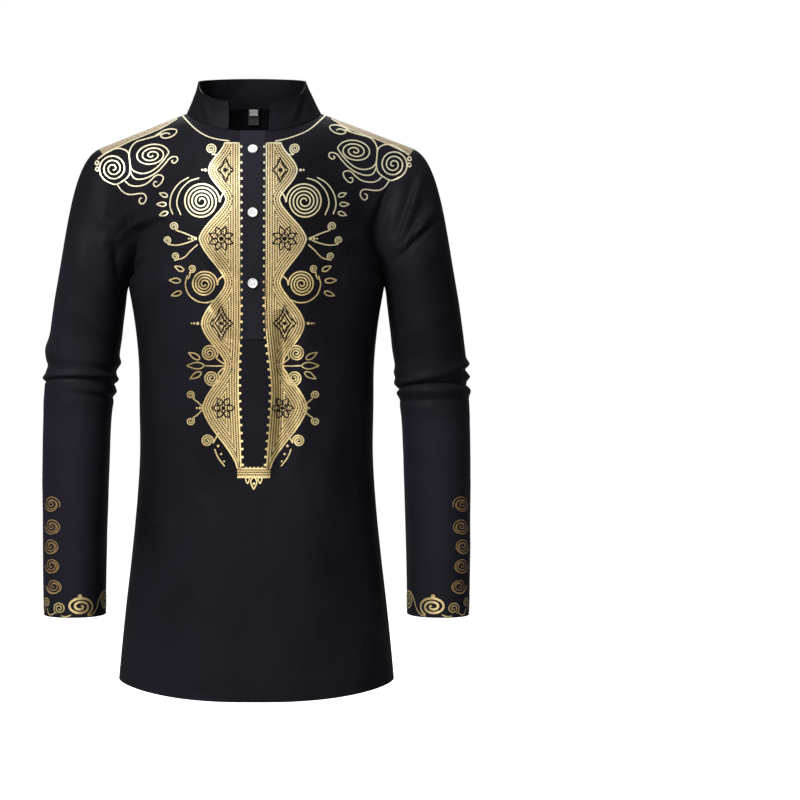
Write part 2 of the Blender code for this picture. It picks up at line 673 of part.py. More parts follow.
def drill(button, point, outward):
    """The four thread holes, cut with one joined cutter."""
    mesh = bmesh.new()
    for x in (-HOLE_SPACING, HOLE_SPACING):
        for y in (-HOLE_SPACING, HOLE_SPACING):
            made = bmesh.ops.create_cone(
                mesh,
                cap_ends=True,
                segments=HOLE_SEGMENTS,
                radius1=HOLE_RADIUS,
                radius2=HOLE_RADIUS,
                depth=4 * BUTTON_THICKNESS,
            )
            bmesh.ops.translate(mesh, verts=made["verts"], vec=(x, y, 0))
    data = bpy.data.meshes.new(button.name + "_holes")
    mesh.to_mesh(data)
    mesh.free()
    cutter = bpy.data.objects.new(data.name, data)
    cutter.matrix_world = facing(point, outward)
    cutter.hide_render = True
    cutter.display_type = "WIRE"
    bpy.data.collections["cutters"].objects.link(cutter)
    cut = button.modifiers.new("thread holes", "BOOLEAN")
    cut.object = cutter
    cut.operation = "DIFFERENCE"


def inside_point(back, normals, x, down, depth):
    """A point that is depth inside the back's cloth, at x and down along the cloth from the neck seam."""
    line = back[-1, SHOULDER_COLUMNS:-SHOULDER_COLUMNS, 0]
    k = SHOULDER_COLUMNS + int(np.argmax(line < x))
    share = (x - back[-1, k - 1, 0]) / (back[-1, k, 0] - back[-1, k - 1, 0])
    points = mix(back[:, k - 1], back[:, k], share)[::-1]
    outward = mix(normals[:, k - 1], normals[:, k], share)[::-1]
    run = np.concatenate([[0], np.cumsum(np.linalg.norm(np.diff(points, axis=0), axis=1))])
    row = int(np.searchsorted(run, down, side="right"))
    part = (down - run[row - 1]) / (run[row] - run[row - 1])
    return mix(points[row - 1], points[row], part) - depth * mix(outward[row - 1], outward[row], part)


def build_labels(back, normals, label_cloth, tab_cloth):
    """The small label and the size tab that hang inside the back of the neck, from the collar's seam."""
    run = np.linalg.norm(back[-1, back.shape[1] // 2] - back[-2, back.shape[1] // 2])
    for name, half, length, depth, cloth in (
        ("neck_label", LABEL_HALF, LABEL_LENGTH, CLOTH + LABEL_GAP, label_cloth),
        ("size_tab", TAB_HALF, TAB_LENGTH, CLOTH + LABEL_GAP + LABEL_CLOTH + SEAM, tab_cloth),
    ):
        rows_down = [LABEL_TOP_GAP + length, LABEL_TOP_GAP]
        if LABEL_TOP_GAP < run < LABEL_TOP_GAP + length:
            rows_down.insert(1, run)
        grids = []
        for extra in (0, LABEL_CLOTH):
            across = (half, 0, -half)
            grids.append(
                [
                    [inside_point(back, normals, LABEL_X + x, down, depth + extra) for x in across]
                    for down in rows_down
                ]
            )
        wall(name, np.array(grids[1])[:, ::-1], np.array(grids[0])[:, ::-1], cloth)


def main():
    for old in list(bpy.data.objects):
        bpy.data.objects.remove(old)
    for name in ("dashiki_shirt", "cutters"):
        bpy.context.scene.collection.children.link(bpy.data.collections.new(name))
    cloth = cloth_material("black_cloth", BLACK, 0.8)
    shell = cloth_material("button_white", WHITE, 0.3)
    label_cloth = cloth_material("label_cloth", GREY, 0.7)
    tab_cloth = cloth_material("tab_cloth", WHITE, 0.7)
    front, front_normals, slit, back, back_normals = build_body_and_sleeves(cloth)
    build_placket(front, front_normals, slit, cloth)
    build_collar(front, back, cloth)
    build_buttons(front, front_normals, slit, shell)
    build_labels(back, back_normals, label_cloth, tab_cloth)


main()
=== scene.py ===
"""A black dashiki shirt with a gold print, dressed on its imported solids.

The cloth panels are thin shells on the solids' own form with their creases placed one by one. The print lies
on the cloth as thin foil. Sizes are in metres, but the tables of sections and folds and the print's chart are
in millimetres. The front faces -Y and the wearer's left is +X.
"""

import functools
import math
from typing import NamedTuple

import bmesh
import bpy
import numpy as np
from bpy.props import FloatProperty, FloatVectorProperty, PointerProperty
from mathutils import Matrix, Vector
from mathutils.bvhtree import BVHTree


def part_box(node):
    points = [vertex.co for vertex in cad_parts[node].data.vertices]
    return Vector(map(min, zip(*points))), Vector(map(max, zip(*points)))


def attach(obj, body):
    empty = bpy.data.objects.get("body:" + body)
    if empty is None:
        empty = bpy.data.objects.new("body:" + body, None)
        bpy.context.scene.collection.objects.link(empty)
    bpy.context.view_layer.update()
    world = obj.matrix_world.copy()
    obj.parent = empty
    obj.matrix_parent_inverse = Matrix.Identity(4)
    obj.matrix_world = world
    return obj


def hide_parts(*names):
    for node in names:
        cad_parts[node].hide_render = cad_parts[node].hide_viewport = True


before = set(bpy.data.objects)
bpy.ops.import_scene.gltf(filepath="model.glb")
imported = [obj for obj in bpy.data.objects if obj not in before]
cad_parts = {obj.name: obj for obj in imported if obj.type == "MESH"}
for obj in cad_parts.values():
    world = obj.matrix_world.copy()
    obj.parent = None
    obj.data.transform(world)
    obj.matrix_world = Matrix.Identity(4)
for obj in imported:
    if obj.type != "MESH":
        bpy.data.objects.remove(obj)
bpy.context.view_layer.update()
BUTTON_BOXES = [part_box(f"button_{number}") for number in (1, 2, 3)]

bl_info = {
    "name": "Dashiki shirt",
    "version": (1, 0, 0),
    "blender": (4, 5, 0),
    "location": "View3D > Sidebar > Shirt",
    "description": "Dresses the solids of a long-sleeved dashiki shirt in cloth, print and trim",
    "category": "Object",
}

# Cloth and seams
CLOTH = 0.0012
COLLAR_CLOTH = 0.0020
SEAM = -0.0006  # pieces run into each other by this much, so that no light comes through
ROUNDNESS = 2.3  # power of the superellipse that the sections follow; 2 is an ellipse
SHARP_ANGLE = math.radians(48)  # edges that turn more than this stay sharp

# Front opening
PLACKET_X = -0.005
PLACKET_HALF = 0.017
SLIT_HALF = 0.011
PLACKET_COLUMNS = 19
STRIP_LIFT = 1.1 * CLOTH  # the placket's face stands this far off the front's
STRIP_GAP = 2.1 * CLOTH  # and the face of the strip under it this far behind

# Buttons, with shares of their radius or thickness
BUTTON_Z = (-0.0611, -0.1470, -0.2400)
BUTTON_TURNS = (8, -21, 14)  # degrees
BUTTON_RADIUS = 0.0065
BUTTON_THICKNESS = 0.0026
BUTTON_BODY = 0.98
BUTTON_STEPS = ((0.16, 0), (0.12, -0.26), (0.22, -0.10))  # rim, slope and dish: how far in, and how far up
BUTTON_BEVEL = 0.16
BEVEL_FROM = 0.45  # radians
HOLE_SPACING = BUTTON_RADIUS * 0.27  # from the middle
HOLE_RADIUS = BUTTON_RADIUS * 0.125
THREAD_GAUGE = BUTTON_RADIUS * 0.075
THREAD_Z = BUTTON_THICKNESS * 0.56
THREAD_RISE = 0.42  # the bars are pressed to this share of their height

# Neck
NECK_X = -0.0035
NECK_HALF = 0.0900

# Shoulders, armholes and hem
SHOULDER_POINT = (0.2160, 0.0, -0.0495)
ARMPIT_Z = -0.2340
HEM_Z = -0.7718
HEM_DIP = 0.0160
PULL_POWER = 2.5  # the higher, the nearer the armhole's pull keeps to its middle
ARMHOLE_LIFT, RIDGE_LIFT = 0.012, 0.140  # heights of the lower handles at the armhole and the neck's corner

# Fine grid of the panels
SHOULDER_COLUMNS = 44  # from the armhole to the neck
NECK_COLUMNS = 34  # from the neck to the placket, or to the middle of the back
CORNER_REACH = 15  # columns on each side of the neck's corner that are eased
CORNER_PASSES = 90
# Columns or rows in which folds grow from a seam
SIDE_FADE, ARMHOLE_FADE, SHOULDER_FADE, CAP_FADE = 6, 12, 14, 8
ARMHOLE_START = 4  # rows above the armpit
UPPER_ROWS = 94  # from the armpit to the shoulder
LOWER_ROWS = 126  # from the hem to the armpit
SLIT_ROW = LOWER_ROWS * 13 // 14  # the slit ends here
PLACKET_ROW = LOWER_ROWS * 12 // 14  # and the placket here
MIDDLE = 1e-6  # the back's halves meet here
FOLD_POINTS = 25  # on a fold's line
FOLD_REACH = 4  # a fold is worked out to this many of its half widths


class Section(NamedTuple):
    """A level section of the body, in millimetres: how far it reaches from the Z axis."""

    z: float
    half_width: float
    front: float
    back: float


BODY = (
    Section(-234, 175.5, 127, 115),
    Section(-286, 166.5, 127.5, 113),
    Section(-340, 161, 124, 108),
    Section(-400, 160, 122, 105),
    Section(-465, 159.3, 123, 109),
    Section(-535, 163.5, 126, 117),
    Section(-605, 170.5, 130, 125),
    Section(-675, 178.5, 135, 132),
    Section(-745, 185.5, 140, 138),
    Section(-785, 189, 142.5, 140.5),
)


class Panel(NamedTuple):
    """How one side of the body runs up from the armpit's level to the shoulder seam and the neck, in metres.

    The columns are curves with two handles. The lower one lies armhole_share of the way to the middle at the
    armhole, and chest_lift up in the middle. The upper ones are the shoulder point's, the neck's corner's and
    the middle of the neck's. armhole_pull draws the armhole in.
    """

    side: int
    neck_y: float
    neck_z: float
    neck_power: float
    armhole_share: float
    chest_lift: float
    armhole_pull: float
    shoulder_handle: tuple
    ridge_handle: tuple
    neck_handle: tuple


FRONT = Panel(
    side=-1,
    neck_y=-0.0720,
    neck_z=-0.0340,
    neck_power=1.4,
    armhole_share=0.30,
    chest_lift=0.100,
    armhole_pull=0.0220,
    shoulder_handle=(-0.007, -0.060, -0.007),
    ridge_handle=(0.0, -0.050, -0.012),
    neck_handle=(0.0, -0.034, -0.044),
)
BACK = Panel(
    side=1,
    neck_y=0.0600,
    neck_z=0.0150,
    neck_power=2.0,
    armhole_share=0.29,
    chest_lift=0.115,
    armhole_pull=0.0160,
    shoulder_handle=(-0.007, 0.060, -0.007),
    ridge_handle=(0.0, 0.050, -0.012),
    neck_handle=(0.0, 0.036, -0.034),
)


class Fold(NamedTuple):
    """A fold through three places (x, z), in millimetres.

    width is its half width at the first and the last place. A trough's height is negative, and crisp over 1
    narrows the crest.
    """

    first: tuple
    middle: tuple
    last: tuple
    width: tuple
    height: float
    crisp: float = 1.0


FRONT_FOLDS = (
    # drag lines from the right armpit: two ridges, the creases under them and a short one by the seam
    Fold((-184, -152), (-160, -137), (-120, -132), (9, 10), 3),
    Fold((-180, -172), (-164, -157), (-116, -146), (6.5, 6), 5.8, 1.2),
    Fold((-177, -192), (-162, -168), (-122, -154.5), (5, 5), -5.2, 1.3),
    Fold((-172, -227), (-163, -214), (-146, -204), (4.5, 4.5), -3.6, 1.3),
    Fold((-170, -216), (-156, -205), (-140, -196), (7, 8), 2.4),
    Fold((-160, -262), (-128, -240), (-84, -232), (14, 17), 2),
    # and from the left one
    Fold((182, -106), (166, -146), (160, -200), (6, 5.5), -5.6, 1.3),
    Fold((166, -120), (150, -150), (148, -180), (10, 10), 2.6),
    Fold((168, -215), (152, -188), (128, -166), (10, 9), 3.4, 1.2),
    Fold((167, -230), (148, -208), (120, -194), (7, 8), -2.8, 1.2),
    Fold((158, -262), (124, -242), (88, -236), (14, 17), 1.8),
    # long soft troughs beside the placket and down the front
    Fold((33, -275), (36, -385), (27, -500), (11.5, 12), -9.0),
    Fold((56, -300), (60, -390), (50, -480), (16, 18), 2.6),
    Fold((-84, -232), (-64, -268), (-34, -318), (11, 11), -5.2, 1.1),
    Fold((-52, -200), (-60, -240), (-66, -276), (10, 10), -3.4),
    Fold((-60, -214), (-44, -222), (-24, -236), (11, 10), -2.4),
    Fold((-108, -330), (-100, -440), (-118, -560), (24, 30), -3),
    Fold((-70, -520), (-78, -620), (-70, -770), (22, 32), 3.4),
    Fold((62, -500), (74, -620), (88, -770), (24, 30), 3.2),
    Fold((4, -560), (8, -660), (10, -780), (26, 34), -2.6),
    Fold((122, -440), (130, -560), (140, -700), (22, 26), -3),
    Fold((-142, -560), (-146, -660), (-150, -770), (18, 24), -2.6),
    # across the yoke at the collar's foot
    Fold((-100, -72), (-74, -86), (-50, -92), (9, 8), -1.4),
    Fold((104, -66), (76, -84), (50, -90), (9, 8), -1.4),
)
BACK_FOLDS = (
    # drag lines, two long troughs and ridges towards the hem
    Fold((-182, -158), (-160, -140), (-112, -132), (10, 11), 3),
    Fold((-178, -184), (-158, -162), (-104, -150), (7.5, 7), 5.2, 1.2),
    Fold((-175, -204), (-154, -176), (-108, -161), (5.5, 5.5), -4.8, 1.3),
    Fold((-168, -236), (-148, -214), (-112, -204), (6, 6), -3.4, 1.2),
    Fold((180, -164), (156, -146), (116, -136), (10, 11), 3),
    Fold((176, -190), (152, -168), (110, -157), (7.5, 7), 5, 1.2),
    Fold((173, -209), (150, -182), (114, -168), (5.5, 5.5), -4.6, 1.3),
    Fold((165, -250), (142, -222), (100, -214), (7, 7), -3.2, 1.2),
    Fold((-120, -395), (-70, -408), (-20, -400), (10, 10), -2.8, 1.1),
    Fold((20, -425), (70, -432), (125, -415), (10, 9), -2.6, 1.1),
    Fold((-70, -300), (-64, -390), (-50, -480), (22, 18), -4),
    Fold((78, -280), (70, -370), (58, -470), (22, 18), -4),
    Fold((4, -250), (-4, -380), (2, -520), (22, 26), 2.6),
    Fold((-60, -540), (-70, -640), (-78, -780), (22, 32), 3.6),
    Fold((70, -520), (78, -640), (72, -780), (24, 30), 3.6),
    Fold((6, -600), (2, -690), (4, -785), (26, 30), -2.8),
    Fold((134, -460), (142, -580), (150, -720), (20, 26), -2.8),
    Fold((-136, -440), (-140, -580), (-152, -730), (20, 26), -2.8),
)
FRONT_CAP_FOLDS = (
    # folds that fall from the left sleeve cap to its armpit
    Fold((190, -92), (172, -140), (166, -196), (7, 6.5), -5.2, 1.2),
    Fold((225, -82), (214, -120), (192, -182), (5.5, 5), 5.2, 1.3),
    Fold((214, -92), (203, -126), (186, -176), (6, 5), -4, 1.2),
    Fold((231, -120), (215, -150), (194, -190), (5, 4.5), -2.6, 1.2),
    Fold((241, -128), (224, -158), (190, -193), (7, 5.5), 6, 1.3),
    Fold((246, -144), (222, -170), (180, -212), (4.2, 4.5), -5.4, 1.4),
    Fold((250, -170), (230, -200), (200, -240), (12, 10), 2),
    # the right one's
    Fold((-212, -142), (-194, -156), (-176, -154), (10, 8), 3.4),
    Fold((-192, -180), (-188, -200), (-184, -236), (7, 6), -4.6, 1.2),
    Fold((-210, -170), (-204, -205), (-196, -250), (12, 10), 2.6),
    Fold((-236, -120), (-226, -170), (-212, -230), (14, 12), -2),
)
BACK_CAP_FOLDS = (
    Fold((235, -110), (218, -164), (198, -214), (11, 9), 4.6, 1.2),
    Fold((248, -140), (228, -184), (202, -228), (7, 6), -4.4, 1.3),
    Fold((-235, -112), (-216, -166), (-198, -216), (11, 9), 4.6, 1.2),
    Fold((-246, -146), (-226, -188), (-200, -230), (7, 6), -4.4, 1.3),
)


class ArmRing(NamedTuple):
    """A ring of the sleeve, in millimetres.

    z is its height next to the body, and rise how much higher its outer side is.
    """

    z: float
    rise: float
    inner: float
    outer: float
    front: float
    back: float


ARM = (
    ArmRing(-262, 50, 179, 268.5, -67, 66),
    ArmRing(-295, 32, 183, 277, -66, 64),
    ArmRing(-330, 14, 187.2, 284.2, -64, 60),
    ArmRing(-365, 4, 192.2, 288.8, -63, 55),
    ArmRing(-410, 0, 198, 291.2, -63, 49),
    ArmRing(-480, 0, 201.2, 292.5, -65, 40),
    ArmRing(-560, 0, 203.8, 291.8, -67, 31),
    ArmRing(-630, 0, 205.5, 291.5, -67, 24),
    ArmRing(-685, 0, 206, 290.5, -66, 18),
)
CAP_ROWS = 42
ARM_STRETCHES = ((-0.322, 20), (-0.403, 62), (-0.685, 72))  # down to that height, in that many rows
CAP_TOP_DIRECTION = (0.93, 0.0, -0.37)  # how the sleeve leaves the shoulder point
CAP_PIT_DIRECTION = (0.75, 0.0, -0.66)  # and the armpit
CAP_SPREAD = 0.35  # and how much it turns forwards or backwards between them
CAP_HANDLE, ARM_HANDLE = 0.21, 0.37  # shares of the way from the armhole to the arm


class ArmFold(NamedTuple):
    """A fold that runs round the sleeve, in millimetres and degrees.

    It is highest at the turn middle, 0 next to the body and 90 at the front, and fades over reach; with a
    reach of 0 it runs all round. It runs higher at the front than at the sides by bow.
    """

    z_outer: float
    z_inner: float
    width: float
    height: float
    middle: float = 90.0
    reach: float = 0.0
    crisp: float = 1.0
    bow: float = 0.0


ELBOW_LEFT = (
    ArmFold(-343, -370, 5.8, 4.2, bow=-3),
    ArmFold(-373.5, -378, 2.8, -3.4, crisp=1.2, bow=5.5),
    ArmFold(-381, -383, 5.6, 3, crisp=1.1, bow=2),
    ArmFold(-392, -393.5, 4.2, -2.2, 70, 70, 1.2),
    ArmFold(-356.3, -356.3, 7, 3, -10, 45),
    ArmFold(-351, -356, 3.6, -3.6, 160, 38, 1.3),
    ArmFold(-361, -364, 4.4, 3.4, 168, 40, 1.2),
    ArmFold(-368, -370, 3, -2.6, 160, 34, 1.2),
    ArmFold(-413, -406, 9, 1.4, 80, 70),
    ArmFold(-316, -344, 10, -1.4, 60, 60),
    ArmFold(-260, -322, 12, 1.6, 70, 60),
    ArmFold(-520, -470, 16, -1, 60, 60),
    ArmFold(-590, -620, 17, 1, 110, 60),
    # behind
    ArmFold(-352, -360, 5, -3.4, 270, 60, 1.3),
    ArmFold(-398, -402, 6, 2.2, 265, 60),
)
ELBOW_RIGHT = (
    ArmFold(-322, -324, 12.5, 3.6, 180, 62),
    ArmFold(-346, -346, 5.5, -2.4, 185, 50),
    ArmFold(-363.5, -364.5, 4.4, 3.6, crisp=1.1, bow=5),
    ArmFold(-368.5, -370.5, 2.4, -2.6, crisp=1.2, bow=5.2),
    ArmFold(-342, -342, 6, 3.4, -8, 46),
    ArmFold(-340, -353, 4.6, -2.8, 38, 46, 1.2),
    ArmFold(-374, -381.5, 5.2, 3.4, 15, 62, 1.1),
    ArmFold(-379, -389, 3.4, -3, 30, 52, 1.3),
    ArmFold(-331, -350, 9, 2, 120, 50),
    ArmFold(-400, -398, 10, 1.2, 90, 80),
    ArmFold(-298, -322, 11, -1.4, 80, 70),
    ArmFold(-250, -310, 12, 1.6, 70, 60),
    ArmFold(-500, -540, 17, 1, 100, 60),
    ArmFold(-610, -570, 16, -1, 70, 60),
    # behind
    ArmFold(-352, -356, 5, -3.4, 268, 60, 1.3),
    ArmFold(-390, -396, 6, 2.4, 270, 60),
)

# Collar
COLLAR_ROWS = 24
COLLAR_TUCK = 0.0010  # its foot stands this far down in the neck seam
COLLAR_TOP_HALF = 0.0718
COLLAR_TOP_X = -0.006
COLLAR_TOP_FRONT_Y, COLLAR_TOP_BACK_Y = -0.0640, 0.0520
COLLAR_TOP_SIDE_Z = 0.0430
COLLAR_TOP_FRONT_Z, COLLAR_TOP_BACK_Z = 0.0055, 0.0545
COLLAR_DROP_FRONT, COLLAR_DROP_BACK = 0.72, 1.0  # powers; under 1 the top leaves the sides' height sooner
COLLAR_SWELL = 0.0020  # how far it bulges at half its height
COLLAR_BASE_ENDS = (-0.0375, 0.0160)
COLLAR_TOP_ENDS = (-0.0370, 0.0190)


class Dent(NamedTuple):
    """A soft dent of the collar.

    foot and head are its shares of the way round at the collar's foot and top, 0 at the left end. middle and
    reach are shares of the collar's height.
    """

    foot: float
    head: float
    width: float
    middle: float
    reach: float
    height: float


COLLAR_DENTS = (
    Dent(0.95, 0.87, 0.014, 0.6, 0.40, -0.0024),
    Dent(0.915, 0.84, 0.014, 0.5, 0.45, 0.0022),
    Dent(0.86, 0.80, 0.016, 0.4, 0.40, -0.0020),
    Dent(0.80, 0.83, 0.020, 0.5, 0.40, -0.0016),
    Dent(0.05, 0.13, 0.014, 0.5, 0.40, -0.0024),
    Dent(0.09, 0.165, 0.013, 0.55, 0.45, 0.0022),
    Dent(0.15, 0.20, 0.015, 0.5, 0.45, -0.0018),
    Dent(0.24, 0.22, 0.026, 0.5, 0.40, -0.0014),
    Dent(0.45, 0.47, 0.045, 0.5, 0.50, -0.0010),
    Dent(0.60, 0.58, 0.040, 0.5, 0.50, -0.0010),
)

# Neck label
LABEL_X = -0.0040
LABEL_HALF, LABEL_LENGTH = 0.0073, 0.0250
TAB_HALF, TAB_LENGTH = 0.0059, 0.0095
LABEL_CLOTH = 0.0010
LABEL_WALL = 0.6 * LABEL_CLOTH
LABEL_GAP = 0.0006
LABEL_TOP_GAP = 0.0010
LABEL_CURL = 0.0012
LABEL_FLAT = 0.3  # this share of its length doesn't curl
LABEL_COLUMNS, LABEL_ROWS = 13, 22

# Stitches; their places are in rows and columns of the grids where they aren't distances
STITCH_LENGTH = 0.72  # share of the pitch
STITCH_GAUGE = 0.00055
HEM_STITCHES, CUFF_STITCHES = 0.014, 0.012  # above the edge
SHOULDER_STITCHES, ARMHOLE_STITCHES = 0.9, 1.2
PLACKET_STITCHES = (1.1, PLACKET_COLUMNS - 2.1)
PLACKET_BARS = (0.7, 4.0)
COLLAR_FOOT_STITCHES, COLLAR_TOP_STITCHES, COLLAR_END_STITCHES = 1.4, 1.8, 1.6

# The chart of the print is flat in X and Z, in millimetres, and is laid on the cloth as seen from EYE
EYE = Vector((0.0, -3.0, -0.393))
PRINT_LIFT = 0.00022  # how far the print lies off the cloth
FOIL = 0.00014  # its thickness
RIDGE = FOIL * 0.6  # a line's middle is this much higher than its sides
CHART_STEP = 1.5  # between the points of a line
SPIRAL_SPREAD = 0.62  # power that spreads a spiral's points about evenly along it
LEAF_POINTS = 25  # along each side
LEAF_BELLY = 0.75  # power; under 1 a leaf is widest before its middle
BEAD_POINTS = 12
ENDS, TOOTH_ENDS = 0.55, 0.8  # width of a ribbon's and a tooth's ends, as shares

# Foil and cloth colours that the settings don't hold
BAND_GOLD = ((0.56, 0.46, 0.31), (0.38, 0.28, 0.17))  # the duller foil along the shoulders
BAND_DOTS, PANEL_DOTS = (0.060, 0.042, 0.022), (0.010, 0.007, 0.006)  # the dots' colours
HIGHLIGHT_GOLD = (0.93, 0.86, 0.60)  # painted highlight: the paler gold that the foil turns to towards the shoulders, as if lit from above
HIGHLIGHT_HEIGHTS = (-0.24, -0.10)  # the painted highlight grows between these heights
# the largest share of the painted highlight, at the top
HIGHLIGHT_SHARE = 0.85
BROWNER = (1.0, 0.85, 0.9)  # shares of the deep gold for the browner painted shade on the sleeves' foil
PAINTED_LIGHT_Z = -0.395  # painted light: the sleeves' cloth takes its lighter bloom tone fully below this height
CUFF_SCROLL_TOP = -0.657  # painted shade: the sleeves' foil turns browner above this height
WEAVE_PITCH = 0.0008
RIB_PITCH = 0.0006

# Stage
FLOOR_Z = -0.960
VIEW_WIDTH = 1.096  # what the picture spans at the shirt's middle
VIEW_SHIFT = 0.179375
SENSOR = 36  # the camera's, in millimetres
LAMPS = (
    # name, place, where it looks, side, power
    ("key", (-1.35, -1.95, 1.65), (0, 0, -0.32), 0.9, 96),
    ("fill", (0.0, -2.8, -0.8), (0, 0, -0.56), 1.6, 34),
    ("back", (0.0, 1.8, 2.1), (0, 0, -0.30), 1.3, 60),
)


# The form of the cloth


def hermite(positions, values, at):
    """Smooth curve through a short table, read at these positions."""
    order = np.argsort(positions)
    p, v = np.asarray(positions, float)[order], np.asarray(values, float)[order]
    slopes = np.gradient(v, p)
    at = np.clip(at, p[0], p[-1])
    i = np.clip(np.searchsorted(p, at) - 1, 0, len(p) - 2)
    step = p[i + 1] - p[i]
    t = (at - p[i]) / step
    return (
        v[i] * (2 * t**3 - 3 * t**2 + 1)
        + slopes[i] * step * (t**3 - 2 * t**2 + t)
        + v[i + 1] * (3 * t**2 - 2 * t**3)
        + slopes[i + 1] * step * (t**3 - t**2)
    )


def table(rows, name, at):
    """One named column of a table of sections, read at these heights in metres."""
    return hermite([row.z / 1000 for row in rows], [getattr(row, name) / 1000 for row in rows], at)


def bezier(p0, p1, p2, p3, t):
    """Points at the shares t of a cubic between p0 and p3."""
    t = np.asarray(t)[..., None]
    return (1 - t) ** 3 * p0 + 3 * (1 - t) ** 2 * t * p1 + 3 * (1 - t) * t**2 * p2 + t**3 * p3


def mix(a, b, share):
    """From a at share 0 to b at share 1."""
    return np.asarray(a) + (np.asarray(b) - np.asarray(a)) * np.asarray(share)


def unit(vectors):
    """The same directions with length 1."""
    return vectors / np.linalg.norm(vectors, axis=-1, keepdims=True)


def body_point(side, angle, z):
    """A point of the body's section at height z; angle 0 is the side seam and pi/2 the middle."""
    reach = table(BODY, "front" if side < 0 else "back", z)
    x = table(BODY, "half_width", z) * np.cos(angle) ** (2 / ROUNDNESS)
    return np.stack([x, side * reach * np.sin(angle) ** (2 / ROUNDNESS), z + 0 * x], axis=-1)


def angle_at_x(x, z):
    """The angle on the section at height z where it is x from the middle."""
    return np.arccos((x / table(BODY, "half_width", z)) ** (ROUNDNESS / 2))


def half_panel(panel, sign, edge_x):
    """Grid of one half of a body panel, from hem to shoulder and from the armhole to x = edge_x.

    sign is +1 for the wearer's left. x counts away from the middle here, and is turned over at the end.
    """
    columns = SHOULDER_COLUMNS + NECK_COLUMNS
    share = np.arange(columns + 1) / columns
    neck_share = SHOULDER_COLUMNS / columns

    down = np.linspace(1, 0, LOWER_ROWS + 1)[:-1, None]
    hem = HEM_Z - HEM_DIP * np.sin(share * math.pi / 2) ** 2
    z = mix(ARMPIT_Z, hem[None], down)
    lower = body_point(panel.side, share * angle_at_x(edge_x, z), z)

    level = np.full(columns + 1, ARMPIT_Z)
    edge_angle = angle_at_x(edge_x, level)
    start = body_point(panel.side, share * edge_angle, level)
    squeezed = mix(panel.armhole_share, 1.0, share)
    low_handle = body_point(panel.side, squeezed * edge_angle, level)
    lifts = (ARMHOLE_LIFT, RIDGE_LIFT, panel.chest_lift)
    low_handle[:, 2] += hermite((0, neck_share, 1), lifts, share)

    neck_x = sign * NECK_X
    along_seam = np.clip(share / neck_share, 0, 1)[:, None]
    seam_end = np.array([neck_x + NECK_HALF, 0.0, 0.0])
    end = mix(SHOULDER_POINT, seam_end, along_seam)
    neck_angle = np.clip((share - neck_share) / (1 - neck_share), 0, 1)
    neck_angle = neck_angle * math.acos((edge_x - neck_x) / NECK_HALF)
    at_neck = np.stack(
        [
            neck_x + NECK_HALF * np.cos(neck_angle),
            panel.neck_y * np.sin(neck_angle),
            panel.neck_z * np.sin(neck_angle) ** panel.neck_power,
        ],
        axis=-1,
    )
    end = np.where(share[:, None] > neck_share, at_neck, end)
    handle = mix(panel.shoulder_handle, panel.ridge_handle, along_seam)
    turn = np.sin(neck_angle) / math.sin(neck_angle[-1])
    handle = mix(handle, panel.neck_handle, turn[:, None])
    up = np.linspace(0, 1, UPPER_ROWS + 1)[:, None]
    upper = bezier(start[None], low_handle[None], (end + handle)[None], end[None], up)
    upper[..., 0] -= panel.armhole_pull * (4 * up * (1 - up)) ** PULL_POWER * (1 - share) ** 2
    # The neck's corner must not run down the panel as a crease, so the columns beside it are eased, more and
    # more over the first quarter of the way up and less and less over the last eighth.
    from_corner = (np.arange(columns + 1) - SHOULDER_COLUMNS) / CORNER_REACH
    ease = np.exp(-(from_corner**2)) * np.clip(up * 4, 0, 1) * np.clip((1 - up) * 8, 0, 1)
    for _ in range(CORNER_PASSES):
        bend = upper[:, :-2] + upper[:, 2:] - 2 * upper[:, 1:-1]
        upper[:, 1:-1] += ease[:, 1:-1, None] * bend / 4

    grid = np.concatenate([lower, upper])
    on_seam = np.zeros(grid.shape[:2], bool)
    on_seam[: LOWER_ROWS + 1, 0] = True
    on_seam[-1, : SHOULDER_COLUMNS + 1] = True
    grid[..., 1] = np.where(on_seam, 0.0, grid[..., 1])
    grid[..., 0] *= sign
    return grid


def slit_columns(x_edges):
    """Columns of the front between the placket's edges, one for each x, from hem to neckline."""
    down = np.linspace(1, 0, LOWER_ROWS + 1)[:-1]
    z = np.concatenate([mix(ARMPIT_Z, HEM_Z - HEM_DIP, down), [ARMPIT_Z]])
    columns = []
    for x in x_edges:
        lower = body_point(-1, angle_at_x(abs(x), z), z)
        neck_sine = math.sqrt(1 - ((x - NECK_X) / NECK_HALF) ** 2)
        end = np.array([abs(x), FRONT.neck_y * neck_sine, FRONT.neck_z * neck_sine**FRONT.neck_power])
        low_handle = lower[-1] + (0, 0, FRONT.chest_lift)
        up = np.linspace(0, 1, UPPER_ROWS + 1)[1:]
        column = np.concatenate([lower, bezier(lower[-1], low_handle, end + FRONT.neck_handle, end, up)])
        column[:, 0] *= math.copysign(1, x)
        columns.append(column)
    return np.stack(columns, axis=1)


def line_through(a, b, c):
    """A smooth line of points through three places."""
    handle = 2 * b - (a + c) / 2
    t = np.linspace(0, 1, FOLD_POINTS)[:, None]
    return (1 - t) ** 2 * a + 2 * t * (1 - t) * handle + t**2 * c


def nearest_on(line, spots):
    """Distance from each spot to a line of points, and the fractional index of the place on the line."""
    best, index = np.full(spots.shape[:-1], np.inf), np.zeros(spots.shape[:-1])
    for k, start in enumerate(line[:-1]):
        run = line[k + 1] - start
        along = np.clip((spots - start) @ run / (run @ run), 0, 1)
        away = np.linalg.norm(spots - start - along[..., None] * run, axis=-1)
        index = np.where(away < best, k + along, index)
        best = np.minimum(best, away)
    return best, index


